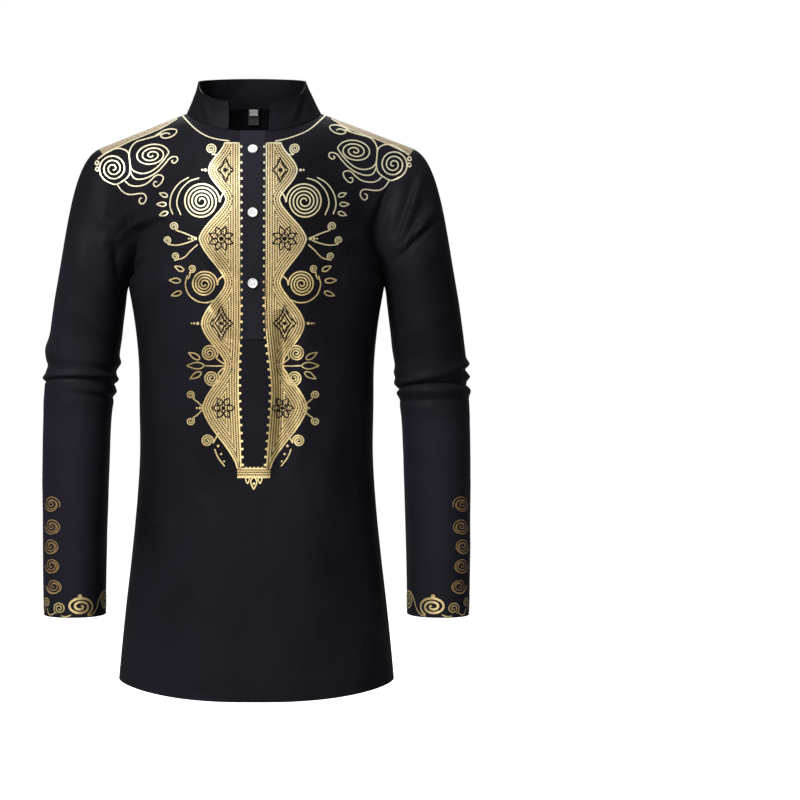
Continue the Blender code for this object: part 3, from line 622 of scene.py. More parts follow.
def fold_lift(points, folds):
    """How far the folds lift each point."""
    lift = np.zeros(points.shape[:-1])
    flat = points[..., [0, 2]]
    for fold in folds:
        line = line_through(*np.array((fold.first, fold.middle, fold.last)) / 1000)
        reach = FOLD_REACH * max(fold.width) / 1000
        low, high = line.min(axis=0) - reach, line.max(axis=0) + reach
        near = np.all((flat > low) & (flat < high), axis=-1)
        away, index = nearest_on(line, flat[near])
        share = index / (len(line) - 1)
        width = mix(*fold.width, share) / 1000
        taper = np.sqrt(4 * share * (1 - share))
        lift[near] += fold.height / 1000 * taper * np.exp(-((away / width) ** (2 / fold.crisp)))
    return lift


def normals_of(grid, closed=False):
    """Unit normals of a grid of points, out of the cloth; closed means that its columns go all round."""
    if closed:
        ring = np.concatenate([grid[:, -1:], grid, grid[:, :1]], axis=1)
        across = np.gradient(ring, axis=1)[:, 1:-1]
    else:
        across = np.gradient(grid, axis=1)
    return unit(np.cross(across, np.gradient(grid, axis=0)))


def folded(grid, folds, depth):
    """The grid with its folds, which fade out at the side and shoulder seams."""
    row, column = (np.arange(count) for count in grid.shape[:2])
    side_seam = np.clip(np.minimum(column, column[::-1]) / SIDE_FADE, 0, 1)[None]
    above = np.clip((row - LOWER_ROWS - ARMHOLE_START) / ARMHOLE_FADE, 0, 1)[:, None]
    shoulder = np.clip(row[::-1] / SHOULDER_FADE, 0, 1)[:, None]
    fade = np.sin(np.maximum(side_seam, above) * math.pi / 2) * np.sin(shoulder * math.pi / 2)
    return grid + (depth * fold_lift(grid, folds) * fade)[..., None] * normals_of(grid)


def arm_rings(rows_z, sign, folds, depth):
    """Rings of the sleeve at these heights, with the folds round the elbow."""
    count = 2 * UPPER_ROWS
    angle = 2 * math.pi * np.arange(count)[None] / count
    z = np.asarray(rows_z)[:, None]
    outward = (1 - np.cos(angle)) / 2
    rise, inner, outer, front, back = (table(ARM, name, z) for name in ArmRing._fields[1:])
    power = 2 / ROUNDNESS
    swing = np.sign(np.cos(angle)) * np.abs(np.cos(angle)) ** power
    thrust = np.sign(np.sin(angle)) * np.abs(np.sin(angle)) ** power
    x = (inner + outer) / 2 - (outer - inner) / 2 * swing
    y = np.where(thrust > 0, thrust * front, -thrust * back)
    height = z + rise * outward
    rings = np.stack([x, y, height], axis=-1)
    lift = np.zeros(height.shape)
    for fold in folds:
        run = mix(fold.z_inner, fold.z_outer, outward) + fold.bow * np.sin(angle)
        away = np.abs(1000 * height - run) / fold.width
        crest = np.exp(-(away ** (2 / fold.crisp)))
        if fold.reach:
            turn = (np.degrees(angle) - fold.middle + 180) % 360 - 180
            crest = crest * np.exp(-((turn / fold.reach) ** 2))
        lift += depth * fold.height / 1000 * crest
    out = unit(np.stack([-swing, -thrust, 0 * swing], axis=-1))
    return (rings + lift[..., None] * out) * (sign, 1, 1)


def sleeve_form(loop, sign, folds, depth):
    """Points of a sleeve, from armhole to cuff; its columns start at the armpit and go up the front."""
    heights = [ARM[0].z / 1000]
    for bottom, rows in ARM_STRETCHES:
        heights.extend(np.linspace(heights[-1], bottom, rows + 1)[1:])
    arm = arm_rings(heights, sign, folds, depth)
    angle = math.pi * np.arange(2 * UPPER_ROWS) / UPPER_ROWS
    outward = ((1 - np.cos(angle)) / 2)[:, None]
    away = unit(mix(CAP_PIT_DIRECTION, CAP_TOP_DIRECTION, outward))
    away[:, 1] -= CAP_SPREAD * np.sin(angle)
    away = unit(away) * (sign, 1, 1)
    start = loop + SEAM * np.array([sign, 0, 0])
    run = np.linalg.norm(arm[0] - start, axis=1)[:, None]
    down = unit(arm[0] - arm[1])
    share = np.linspace(0, 1, CAP_ROWS + 1)[:-1, None]
    cap = bezier(start, start + away * run * CAP_HANDLE, arm[0] + down * run * ARM_HANDLE, arm[0], share)
    grid = np.concatenate([cap, arm])
    normals = -sign * normals_of(grid, closed=True)
    front, back = fold_lift(grid, FRONT_CAP_FOLDS), fold_lift(grid, BACK_CAP_FOLDS)
    lift = depth * np.where(normals[..., 1] < 0, front, back)
    fade = np.clip(np.arange(len(grid)) / CAP_FADE, 0, 1)[:, None] * np.abs(normals[..., 1])
    return grid + (lift * fade)[..., None] * normals


class Forms(NamedTuple):
    """The outer faces of the four large panels as grids of points, and where the slit's cells are."""

    front: np.ndarray
    back: np.ndarray
    sleeve_left: np.ndarray
    sleeve_right: np.ndarray
    slit: int


@functools.lru_cache(maxsize=1)
def forms(depth):
    """The panels with their folds scaled by depth."""
    left = half_panel(FRONT, 1, PLACKET_X + PLACKET_HALF)
    right = half_panel(FRONT, -1, PLACKET_HALF - PLACKET_X)
    middle = slit_columns((PLACKET_X + SLIT_HALF, PLACKET_X - SLIT_HALF))
    front = np.concatenate([left, middle, right[:, ::-1]], axis=1)[:, ::-1]
    front = folded(front, FRONT_FOLDS, depth)
    halves = half_panel(BACK, 1, MIDDLE), half_panel(BACK, -1, MIDDLE)[:, -2::-1]
    back = folded(np.concatenate(halves, axis=1), BACK_FOLDS, depth)
    sleeves = []
    for sign, folds in ((1, ELBOW_LEFT), (-1, ELBOW_RIGHT)):
        front_column, back_column = (-1, 0) if sign > 0 else (0, -1)
        up_front = front[LOWER_ROWS:, front_column]
        down_back = back[LOWER_ROWS:, back_column][::-1]
        loop = np.concatenate([up_front, down_back[1:-1]])
        sleeves.append(sleeve_form(loop, sign, folds, depth))
    return Forms(front, back, sleeves[0], sleeves[1], right.shape[1])


def cloth_forms():
    """The forms at the fold depth of the settings."""
    return forms(round(bpy.context.scene.shirt_sizes.fold_depth, 3))


# Meshes


def new_piece(name, points, faces, finish, flat=None):
    """A smooth piece that rides on the shirt; flat holds a flat place for each corner of each face."""
    data = bpy.data.meshes.new(name)
    faces = faces.tolist() if isinstance(faces, np.ndarray) else faces
    data.from_pydata(np.asarray(points, float).tolist(), [], faces)
    if flat is not None:
        layer = data.uv_layers.new(name="Flat")
        layer.data.foreach_set("uv", np.asarray(flat, np.float32).ravel())
    data.validate()
    piece = bpy.data.objects.new(name, data)
    bpy.context.scene.collection.objects.link(piece)
    return dressed(piece, finish)


def soften(piece):
    """Shades the piece smooth, but for its sharp edges."""
    piece.data.shade_smooth()
    piece.data.set_sharp_from_angle(angle=SHARP_ANGLE)


def dressed(piece, finish):
    """The piece with its material, slot and smooth shading, riding on the shirt."""
    piece.data.materials.clear()
    piece.data.materials.append(material(finish))
    soften(piece)
    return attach(piece, "root")


def only(piece):
    """Selects this piece and nothing else."""
    bpy.ops.object.select_all(action="DESELECT")
    piece.select_set(True)
    bpy.context.view_layer.objects.active = piece


def apply_modifiers(piece):
    """Applies what the piece has, from the first modifier to the last."""
    only(piece)
    for modifier in list(piece.modifiers):
        bpy.ops.object.modifier_apply(modifier=modifier.name)


def thicken(piece, thickness, offset):
    """Gives a sheet its wall; an offset of -1 puts all of it behind the faces."""
    solidify = piece.modifiers.new("wall", "SOLIDIFY")
    solidify.thickness = thickness
    solidify.offset = offset
    apply_modifiers(piece)
    soften(piece)
    return piece


def run_along(points, axis=0):
    """How far each point lies along its line, from the line's first point."""
    steps = np.linalg.norm(np.diff(points, axis=axis), axis=-1)
    return np.insert(np.cumsum(steps, axis=axis), 0, 0, axis=axis)


def read_at(values, places, run=None):
    """Rows of a table of vectors read between its lines: at fractional indexes, or at distances along run."""
    run = np.arange(len(values)) if run is None else run
    return np.stack([np.interp(places, run, column) for column in values.T], axis=-1)


def wrapped(grid):
    """A closed grid with its first column repeated after its last."""
    return np.concatenate([grid, grid[:, :1]], axis=1)


def flat_places(grid, closed):
    """Each point's place on the flat cloth: across from the middle column and up from the first row."""
    wide = wrapped(grid) if closed else grid
    across = run_along(wide, axis=1)
    across -= across[:, wide.shape[1] // 2, None]
    return np.stack([across, run_along(wide)], axis=-1)


def cells(rows, columns, closed=False, keep=None, start=0):
    """The corners of each cell of a grid as pairs of row and column, and the faces that they make."""
    i, j = np.mgrid[0 : rows - 1, 0 : columns if closed else columns - 1]
    if keep is not None:
        i, j = i[keep], j[keep]
    i, j = i.ravel(), j.ravel()
    corners = ((i, j), (i, j + 1), (i + 1, j + 1), (i + 1, j))
    return corners, np.stack([start + a * columns + b % columns for a, b in corners], axis=1)


def at_corners(values, corners):
    """What a grid holds at the four corners of each cell."""
    return np.stack([values[a, b] for a, b in corners], axis=1)


def shell(name, grid, thickness, finish, slot, closed=False, keep=None):
    """A wall of cloth behind a grid of points, with its flat places as UVs in metres."""
    corners, faces = cells(*grid.shape[:2], closed, keep)
    flat = at_corners(flat_places(grid, closed), corners)
    piece = new_piece(name, grid.reshape(-1, 3), faces, finish, flat.reshape(-1, 2))
    return thicken(piece, thickness, -1)


def sample(grid, rows, columns):
    """Points of the grid at these fractional rows and columns."""
    top, side = grid.shape[0] - 1, grid.shape[1] - 1
    rows, columns = np.clip(rows, 0, top), np.clip(columns, 0, side)
    i, j = np.minimum(rows.astype(int), top - 1), np.minimum(columns.astype(int), side - 1)
    a, b = (rows - i)[..., None], (columns - j)[..., None]
    low = grid[i, j] * (1 - b) + grid[i, j + 1] * b
    high = grid[i + 1, j] * (1 - b) + grid[i + 1, j + 1] * b
    return low * (1 - a) + high * a


@functools.lru_cache(maxsize=1)
def cloth_tree():
    """All that the print can lie on: both panels, both sleeves and the placket."""
    form = cloth_forms()
    points, faces = [], []
    for grid, closed in (
        (form.front, False),
        (form.back, False),
        (form.sleeve_left, True),
        (form.sleeve_right, True),
        (placket_grid(form), False),
    ):
        faces.extend(cells(*grid.shape[:2], closed, start=len(points))[1].tolist())
        points.extend(grid.reshape(-1, 3).tolist())
    return BVHTree.FromPolygons(points, faces)


def laid(spots, lift):
    """Chart places in millimetres, laid on the cloth as seen from EYE. lift is one number or one for each."""
    points = np.empty((len(spots), 3))
    for k, ((x, z), rise) in enumerate(zip(spots, np.broadcast_to(lift, len(spots)))):
        along = Vector((x / 1000, 0, z / 1000)) - EYE
        place, normal, _, _ = cloth_tree().ray_cast(EYE, along.normalized())
        if place is None:
            raise RuntimeError(f"the print at {x:.1f}, {z:.1f} mm misses the cloth")
        points[k] = place + normal * (-rise if normal.dot(along) > 0 else rise)
    return points


class Wrap:
    """A sleeve unrolled in millimetres: u runs across its columns from one, and v up along that one."""

    def __init__(self, grid, column, sign):
        self.grid = wrapped(grid)
        self.normals = normals_of(self.grid) * sign
        self.across = run_along(1000 * self.grid, axis=1)
        self.across -= self.across[:, column, None]
        self.up = run_along(1000 * self.grid[:, column])

    def __call__(self, spots, lift):
        rows = np.interp(spots[:, 1], self.up, np.arange(len(self.up)))
        columns = np.empty(len(spots))
        for k, row in enumerate(rows):
            line = self.across[int(round(row))]
            columns[k] = np.interp(spots[k, 0], line, np.arange(len(line)))
        out = unit(sample(self.normals, rows, columns))
        return sample(self.grid, rows, columns) + np.broadcast_to(lift, len(spots))[:, None] * out


# Lines and shapes of the print, in millimetres


def smooth(*places):
    """A smooth line through these places."""
    p = np.asarray(places, float)
    p = np.concatenate([2 * p[:1] - p[1:2], p, 2 * p[-1:] - p[-2:-1]])
    line = []
    for a, b, c, d in zip(p, p[1:], p[2:], p[3:]):
        count = max(2, int(np.linalg.norm(c - b) / CHART_STEP))
        t = np.linspace(0, 1, count, endpoint=False)[:, None]
        bend = (2 * a - 5 * b + 4 * c - d) * t**2 + (3 * b - a - 3 * c + d) * t**3
        line.append((2 * b + (c - a) * t + bend) / 2)
    return np.concatenate([*line, p[-2:-1]])


def turned(x, z, right, up, angle):
    """Places given right and up of x, z, turned about it by an angle in degrees."""
    cosine, sine = math.cos(math.radians(angle)), math.sin(math.radians(angle))
    return np.stack([x + right * cosine - up * sine, z + right * sine + up * cosine], axis=1)


def spiral(x, z, radius, turns, leave, sense=1, squash=1.0, tilt=0.0, core=0.12):
    """A spiral from its core out; it ends at the angle leave, in degrees, and turns by sense."""
    count = max(16, int(math.pi * radius * turns / CHART_STEP))
    share = np.linspace(0, 1, count) ** SPIRAL_SPREAD
    angle = math.radians(leave) - sense * 2 * math.pi * turns * (1 - share)
    reach = radius * (core + (1 - core) * share)
    return turned(x, z, reach * np.cos(angle), reach * np.sin(angle) * squash, tilt)


def stem(line, *places):
    """The line continued smoothly through more places."""
    return np.concatenate([line[:-1], smooth(line[-2], line[-1], *places)[1:]])


def leaf(x, z, length, width, angle):
    """A closed leaf that starts at x, z and grows along the angle."""
    t = np.linspace(0, 1, LEAF_POINTS)
    right, up = length * t, width / 2 * np.sin(math.pi * t**LEAF_BELLY)
    return turned(x, z, np.concatenate([right, right[-2::-1]]), np.concatenate([up, -up[-2::-1]]), angle)


def bead(x, z, radius):
    """The rim of a small round dot."""
    turn = np.linspace(0, 2 * math.pi, BEAD_POINTS, endpoint=False)
    return np.stack([x + radius * np.cos(turn), z + radius * np.sin(turn)], axis=1)


class Drawing:
    """Ribbons and filled dots that become one piece of foil."""

    def __init__(self, place=laid, lift=PRINT_LIFT):
        self.place, self.lift = place, lift
        self.points, self.faces, self.flat = [], [], []

    def add(self, points, faces, spots):
        start = len(self.points)
        self.points.extend(points.tolist())
        self.faces.extend([[start + k for k in face] for face in faces])
        self.flat.extend([spots[k] / 1000 for face in faces for k in face])

    def ribbon(self, line, width, ends=ENDS):
        """A ribbon along a line; its last points at both ends are narrowed by ends."""
        line = np.asarray(line, float)
        run = unit(np.gradient(line, axis=0))
        side = np.stack([-run[:, 1], run[:, 0]], axis=1)
        half = np.full(len(line), width / 2)
        half[[0, -1]] *= ends
        spots = np.concatenate([line + side * half[:, None], line, line - side * half[:, None]])
        lift = np.repeat([self.lift, self.lift + RIDGE, self.lift], len(line))
        self.add(self.place(spots, lift), cells(3, len(line))[1].tolist(), spots)

    def dot(self, rim):
        """A filled shape inside a rim that its centre sees all of."""
        spots = np.concatenate([rim, rim.mean(axis=0)[None]])
        n = len(rim)
        faces = [[k, (k + 1) % n, n] for k in range(n)]
        self.add(self.place(spots, self.lift), faces, spots)

    def piece(self, name, finish):
        """The finished foil."""
        return foil(name, self.points, self.faces, finish, self.flat)


def foil(name, points, faces, finish, flat):
    """A piece of foil whose flat faces are turned away from the cloth under them and given a wall."""
    piece = new_piece(name, points, faces, finish, flat)
    mesh = bmesh.new()
    mesh.from_mesh(piece.data)
    wrong = []
    for face in mesh.faces:
        centre = face.calc_center_median()
        if face.normal.dot(centre - cloth_tree().find_nearest(centre)[0]) < 0:
            wrong.append(face)
    bmesh.ops.reverse_faces(mesh, faces=wrong)
    mesh.to_mesh(piece.data)
    mesh.free()
    return thicken(piece, FOIL, 1)


# Finishes


def toned(colour, share):
    """The colour, darker or lighter by this share."""
    return tuple(channel * share for channel in colour)


class Finish:
    """The node tree of one material, built step by step."""

    def __init__(self, name):
        self.material = bpy.data.materials.new(name)
        self.material.use_nodes = True
        self.tree = self.material.node_tree
        self.shader = self.tree.nodes["Principled BSDF"]
        self.spots = {}

    def put(self, socket, value):
        """Links or sets a socket; a colour is given without its alpha."""
        if isinstance(value, bpy.types.NodeSocket):
            self.tree.links.new(value, socket)
        else:
            socket.default_value = (*value, 1) if socket.type == "RGBA" else value

    def fill(self, node, sockets):
        """Puts a value or link in each named socket, with _ for a space in its name."""
        for name, value in sockets.items():
            self.put(node.inputs[name.replace("_", " ")], value)

    def node(self, kind, setting=None, **sockets):
        """A new shader node with one setting, as its name and value, and its sockets filled."""
        made = self.tree.nodes.new("ShaderNode" + kind)
        if setting:
            setattr(made, *setting)
        self.fill(made, sockets)
        return made

    def math(self, operation, *values):
        """The result of a calculation with one or two values."""
        made = self.node("Math", ("operation", operation))
        for socket, value in zip(made.inputs, values):
            self.put(socket, value)
        return made.outputs[0]

    def flat(self):
        """Across and up on the flat cloth, in metres."""
        if "flat" not in self.spots:
            place = self.node("UVMap", ("uv_map", "Flat")).outputs["UV"]
            self.spots["flat"] = self.node("SeparateXYZ", Vector=place).outputs[:2]
        return self.spots["flat"]

    def place(self):
        """The place on the object, in metres."""
        if "place" not in self.spots:
            self.spots["place"] = self.node("TexCoord").outputs["Object"]
        return self.spots["place"]

    def height(self):
        """The height on the object, in metres."""
        return self.node("SeparateXYZ", Vector=self.place()).outputs["Z"]

    def noise(self, scale, detail, stretch=(1, 1, 1), roughness=0.5, distortion=0.0):
        """Noise in the object's own place, with scale features to the metre."""
        place = self.node("Mapping", Vector=self.place(), Scale=stretch).outputs[0]
        sockets = {"Vector": place, "Scale": scale, "Detail": detail, "Roughness": roughness}
        return self.node("TexNoise", Distortion=distortion, **sockets).outputs["Fac"]

    def steps(self, value, low, high, to_low=0.0, to_high=1.0):
        """value spread from low..high to to_low..to_high, and held there."""
        ends = {"From_Min": low, "From_Max": high, "To_Min": to_low, "To_Max": to_high}
        return self.node("MapRange", Value=value, **ends).outputs[0]

    def blend(self, share, first, second):
        """A colour from first at share 0 to second at 1."""
        return self.node("Mix", ("data_type", "RGBA"), Factor=share, A=first, B=second).outputs["Result"]

    def bump(self, height, distance, strength, under=None):
        """The normal of a relief, on that of another one under it."""
        below = {} if under is None else {"Normal": under}
        return self.node("Bump", Height=height, Distance=distance, Strength=strength, **below).outputs[0]

    def shade(self, **sockets):
        """Sets or links the shader's sockets and returns the material."""
        self.fill(self.shader, sockets)
        return self.material


def weave_height(finish):
    """A plain weave's height on the flat cloth."""
    across, up = finish.flat()
    turn = 2 * math.pi / WEAVE_PITCH
    warp = finish.math("SINE", finish.math("MULTIPLY", across, turn))
    weft = finish.math("SINE", finish.math("MULTIPLY", up, turn))
    return finish.math("MULTIPLY", warp, weft)


def cloth_finish(name, dark, lit, creased, painted_light_below=None):
    """Smooth black cloth with a soft satin bloom, a fine weave and shallow wrinkles; below a given height the
    bloom tone is painted in fully, as painted light.
    """
    finish = Finish(name)
    soft, fibre = finish.noise(7.0, 3.0, (1, 1, 0.6)), finish.noise(900.0, 2.0)
    clouds, specks = finish.steps(soft, 0.36, 0.66, 0, 0.8), finish.steps(fibre, 0.3, 0.7, -0.1, 0.2)
    share = finish.math("ADD", clouds, specks)
    if painted_light_below is not None:
        # painted light: below the given height the cloth turns to its lighter bloom tone
        more = finish.steps(finish.height(), painted_light_below - 0.05, painted_light_below, 0.9, 0)
        share = finish.math("ADD", share, more)
    colour = finish.blend(finish.math("MAXIMUM", share, 0.0), dark, lit)
    wrinkles = finish.noise(16.0, 3.0, (1.0, 1.0, 0.62), 0.55, 0.6)
    ripples = finish.noise(55.0, 2.0, (1.0, 1.0, 0.5), 0.5, 0.4)
    normal = finish.bump(wrinkles, 0.008 * creased, 0.40)
    normal = finish.bump(ripples, 0.0016 * creased, 0.35, normal)
    normal = finish.bump(weave_height(finish), 0.00002, 0.6, normal)
    return finish.shade(
        Base_Color=colour,
        Roughness=finish.steps(fibre, 0.2, 0.8, 0.46, 0.56),
        Specular_IOR_Level=0.035,
        Sheen_Weight=0.01,
        Sheen_Roughness=0.40,
        Sheen_Tint=(0.62, 0.62, 0.80),
        Normal=normal,
    )


def gold_colour(finish, light, deep, pale):
    """Gold that drifts between its light and deep shades, paler towards the shoulders as a painted highlight,
    and a mask of the pinholes where it has worn.
    """
    drift, grain = finish.noise(14.0, 3.0), finish.noise(420.0, 2.0)
    thin, specks = finish.steps(drift, 0.35, 0.68, 0, 0.7), finish.steps(grain, 0.42, 0.75, 0, 0.35)
    share = finish.math("ADD", thin, specks)
    worn = finish.steps(finish.noise(1500.0, 1.0), 0.70, 0.76)
    colour = finish.blend(finish.math("MINIMUM", share, 1.0), light, deep)
    # painted highlight: between the given heights the foil turns towards the pale gold, by the share pale
    return finish.blend(finish.steps(finish.height(), *HIGHLIGHT_HEIGHTS, 0.0, pale), colour, HIGHLIGHT_GOLD), worn


def foil_finish(name, light, deep, cloth, painted_shade_from=None):
    """Pale gold foil, a little worn, paler towards the shoulders as a painted highlight; above a given height
    it is browner, as painted shade.
    """
    finish = Finish(name)
    colour, worn = gold_colour(finish, light, deep, HIGHLIGHT_SHARE)
    if painted_shade_from is not None:
        # painted shade: above the given height the foil turns to a browner deep gold
        painted_shade_share = finish.steps(finish.height(), painted_shade_from, painted_shade_from + 0.012, 0.1, 0.75)
        colour = finish.blend(painted_shade_share, colour, tuple(a * b for a, b in zip(deep, BROWNER)))
    colour = finish.blend(finish.math("MULTIPLY", worn, 0.6), colour, cloth)
    normal = finish.bump(finish.noise(260.0, 2.0), 0.0004, 0.25)
    return finish.shade(Base_Color=colour, Roughness=0.43, Metallic=0.45, Normal=normal)


def dotted_finish(name, light, deep, dark, pitch, dot, pale):
    """Gold foil with staggered rows of small dark dots between fine light lines, along the flat places, and
    paler towards the shoulders by the share pale as a painted highlight.
    """
    finish = Finish(name)
    colour, worn = gold_colour(finish, light, deep, pale)
    across, up = finish.flat()
    row, step = finish.math("DIVIDE", across, pitch), pitch * 0.86
    odd = finish.math("MODULO", finish.math("FLOOR", row), 2.0)
    along = finish.math("ADD", finish.math("DIVIDE", up, step), finish.math("MULTIPLY", odd, 0.5))
    beside, ahead = (
        finish.math("MULTIPLY", finish.math("SUBTRACT", finish.math("FRACT", place), 0.5), apart)
        for place, apart in ((row, pitch), (along, step))
    )
    squares = finish.math("ADD", finish.math("POWER", beside, 2.0), finish.math("POWER", ahead, 2.0))
    away = finish.math("SQRT", squares)
    uneven = finish.steps(finish.noise(240.0, 1.0), 0.3, 0.7, dot * 0.76, dot * 1.26)
    hole = finish.steps(finish.math("SUBTRACT", uneven, away), -0.00016, 0.00016)
    line = finish.steps(finish.math("ABSOLUTE", beside), pitch * 0.33, pitch * 0.45)
    shade = finish.blend(finish.steps(away, dot, dot * 2.5, 0.90, 0.18), colour, deep)
    shade = finish.blend(finish.math("MULTIPLY", line, 0.85), shade, light)
    shade = finish.blend(hole, shade, dark)
    shade = finish.blend(finish.math("MULTIPLY", worn, 0.6), shade, dark)
    normal = finish.bump(finish.math("SUBTRACT", line, hole), 0.00012, 0.6)
    return finish.shade(Base_Color=shade, Roughness=0.44, Metallic=0.4, Normal=normal)


def thread_finish(name, colour, shine):
    """Sewing thread: fine slanted ply with a soft shine."""
    finish = Finish(name)
    ply = finish.noise(2600.0, 1.0, (1, 1, 3))
    tone = finish.blend(finish.steps(ply, 0.35, 0.65), toned(colour, 0.72), colour)
    normal = finish.bump(ply, 0.0001, 0.5)
    return finish.shade(
        Base_Color=tone, Roughness=0.55, Specular_IOR_Level=shine, Sheen_Weight=shine / 2, Normal=normal
    )


def button_finish(name, colour):
    """Polished white button with a faint pearly drift and fine scratches."""
    finish = Finish(name)
    pearl = finish.noise(330.0, 3.0, (1, 1, 0.4), 0.5, 1.2)
    tone = finish.blend(finish.steps(pearl, 0.3, 0.7), toned(colour, 0.93), colour)
    scratch = finish.noise(1400.0, 2.0, (1, 1, 0.15))
    return finish.shade(
        Base_Color=tone,
        Roughness=finish.steps(scratch, 0.4, 0.7, 0.20, 0.32),
        Coat_Weight=0.25,
        Subsurface_Weight=0.08,
        Subsurface_Radius=(0.002, 0.0018, 0.0015),
        Normal=finish.bump(scratch, 0.00005, 0.3),
    )


def label_finish(name, colour):
    """Woven ribbon with crosswise ribs."""
    finish = Finish(name)
    rib = finish.math("SINE", finish.math("MULTIPLY", finish.flat()[1], 2 * math.pi / RIB_PITCH))
    cloudy = finish.noise(500.0, 2.0)
    tone = finish.blend(finish.steps(cloudy, 0.3, 0.7), toned(colour, 0.82), colour)
    tone = finish.blend(finish.steps(rib, -1, 1, 0.0, 0.35), tone, toned(colour, 0.6))
    normal = finish.bump(rib, 0.00004, 0.7)
    return finish.shade(Base_Color=tone, Roughness=0.6, Sheen_Weight=0.2, Normal=normal)


def material(name):
    """One of the shirt's materials, made when it is first asked for."""
    if name in bpy.data.materials:
        return bpy.data.materials[name]
    tones = bpy.context.scene.shirt_tones
    sizes = bpy.context.scene.shirt_sizes
    black, bloom = tuple(tones.cloth), tuple(tones.cloth_lit)
    light, deep = tuple(tones.gold_light), tuple(tones.gold_deep)
    pitch, dot = sizes.dot_pitch, sizes.dot
    finish, *given = {
        "shirt_cloth": (cloth_finish, black, bloom, 1.0),
        # the sleeves' cloth is painted lighter below the forearms' height, as painted light
        "sleeve_cloth": (cloth_finish, black, bloom, 1.0, PAINTED_LIGHT_Z),
        # painted shade: the collar's cloth is a darker copy of the black, for the shade that it stands in
        "collar_cloth": (cloth_finish, toned(black, 0.8), toned(bloom, 0.8), 0.9),
        # painted light: the placket's cloth is a lighter copy of the black, for the light that its flat face
        # catches
        "placket_cloth": (cloth_finish, toned(black, 1.5), toned(bloom, 1.8), 0.4),
        "dark_print": (cloth_finish, black, bloom, 0.0),
        "gold_foil": (foil_finish, light, deep, black),
        # the sleeves' foil carries painted shade: browner above the cuff scroll
        "cuff_foil": (foil_finish, light, deep, black, CUFF_SCROLL_TOP),
        "band_foil": (dotted_finish, *BAND_GOLD, BAND_DOTS, pitch, dot * 0.8, 0.0),
        "dotted_foil": (dotted_finish, light, deep, PANEL_DOTS, pitch, dot, HIGHLIGHT_SHARE),
        "black_thread": (thread_finish, toned(bloom, 0.8), 0.04),
        "white_thread": (thread_finish, (0.78, 0.78, 0.76), 0.4),
        "button_shell": (button_finish, tuple(tones.button)),
        "label_weave": (label_finish, tuple(tones.label)),
        "tab_weave": (label_finish, (0.80, 0.80, 0.79)),
    }[name]
    return finish(name, *given)


# The pieces


def placket_grid(form):
    """The placket's outer face."""
    seat = (form.front + STRIP_LIFT * normals_of(form.front))[PLACKET_ROW:]
    columns = np.linspace(form.slit - 1, form.slit + 2, PLACKET_COLUMNS)
    rows = np.arange(len(seat), dtype=float)
    return sample(seat, *np.meshgrid(rows, columns, indexing="ij"))


def cut_at_x(points, x):
    """The stretch of a line of points from its start to where it crosses x."""
    k = int(np.argmax((points[:, 0] - x) * (points[0, 0] - x) < 0))
    share = (x - points[k - 1, 0]) / (points[k, 0] - points[k - 1, 0])
    return np.concatenate([points[:k], [mix(points[k - 1], points[k], share)]])


def neckline(front, back):
    """The points that the collar stands on, from its right end round the back to its left one."""
    right_end, left_end = COLLAR_BASE_ENDS
    right = cut_at_x(front[-1, SHOULDER_COLUMNS:], right_end)[::-1]
    across_back = back[-1, SHOULDER_COLUMNS:-SHOULDER_COLUMNS][::-1]
    left = cut_at_x(front[-1, : -SHOULDER_COLUMNS][::-1], left_end)
    return np.concatenate([right[:-1], across_back, left[1:]])


def collar_grid(form):
    """The outer face of the stand collar, with its soft dents."""
    base = neckline(form.front, form.back) - (0, 0, COLLAR_TUCK)
    angle = np.arctan2(base[:, 1], (base[:, 0] - NECK_X) * -FRONT.neck_y / NECK_HALF)
    angle = np.where(angle < angle[-1], angle + 2 * math.pi, angle)
    right_end, left_end = (math.acos((x - COLLAR_TOP_X) / COLLAR_TOP_HALF) for x in COLLAR_TOP_ENDS)
    share = (angle - angle[-1]) / (angle[0] - angle[-1])
    angle = mix(-left_end, 2 * math.pi - right_end, share)
    forward = np.sin(angle) < 0
    top_y = np.where(forward, -COLLAR_TOP_FRONT_Y, COLLAR_TOP_BACK_Y) * np.sin(angle)
    reach_z = np.where(forward, COLLAR_TOP_FRONT_Z, COLLAR_TOP_BACK_Z) - COLLAR_TOP_SIDE_Z
    drop = np.where(forward, COLLAR_DROP_FRONT, COLLAR_DROP_BACK)
    top_z = COLLAR_TOP_SIDE_Z + reach_z * np.abs(np.sin(angle)) ** drop
    top = np.stack([COLLAR_TOP_X + COLLAR_TOP_HALF * np.cos(angle), top_y, top_z], axis=-1)
    up = np.linspace(0, 1, COLLAR_ROWS + 1)[:, None, None]
    grid = mix(base[None], top[None], up)
    grid = grid + COLLAR_SWELL * np.sin(math.pi * up) * normals_of(grid)
    lift = np.zeros(grid.shape[:2])
    for dent in COLLAR_DENTS:
        along = (share[None] - mix(dent.foot, dent.head, up[..., 0])) / dent.width
        rise = np.exp(-(((up[..., 0] - dent.middle) / dent.reach) ** 2))
        lift += dent.height * rise * np.exp(-(along**2))
    # Each dent keeps a quarter of its height at the foot and the top
    fade = np.sin(math.pi * np.clip(up[..., 0], 0.02, 0.98)) ** 0.5
    return grid + (lift * fade)[..., None] * normals_of(grid)


def dress_cloth(name, grid, finish, thickness=CLOTH, **cut):
    """One panel of the shirt's cloth, in the place of its solid."""
    piece = shell(f"cloth_{name}", grid, thickness, finish, "black_cloth", **cut)
    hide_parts(name)


def dress_body():
    """The front with its slit, and the back."""
    form = cloth_forms()
    rows, columns = form.front.shape[:2]
    keep = np.ones((rows - 1, columns - 1), bool)
    keep[SLIT_ROW:, form.slit] = False
    dress_cloth("front", form.front, "shirt_cloth", keep=keep)
    dress_cloth("back", form.back, "shirt_cloth")


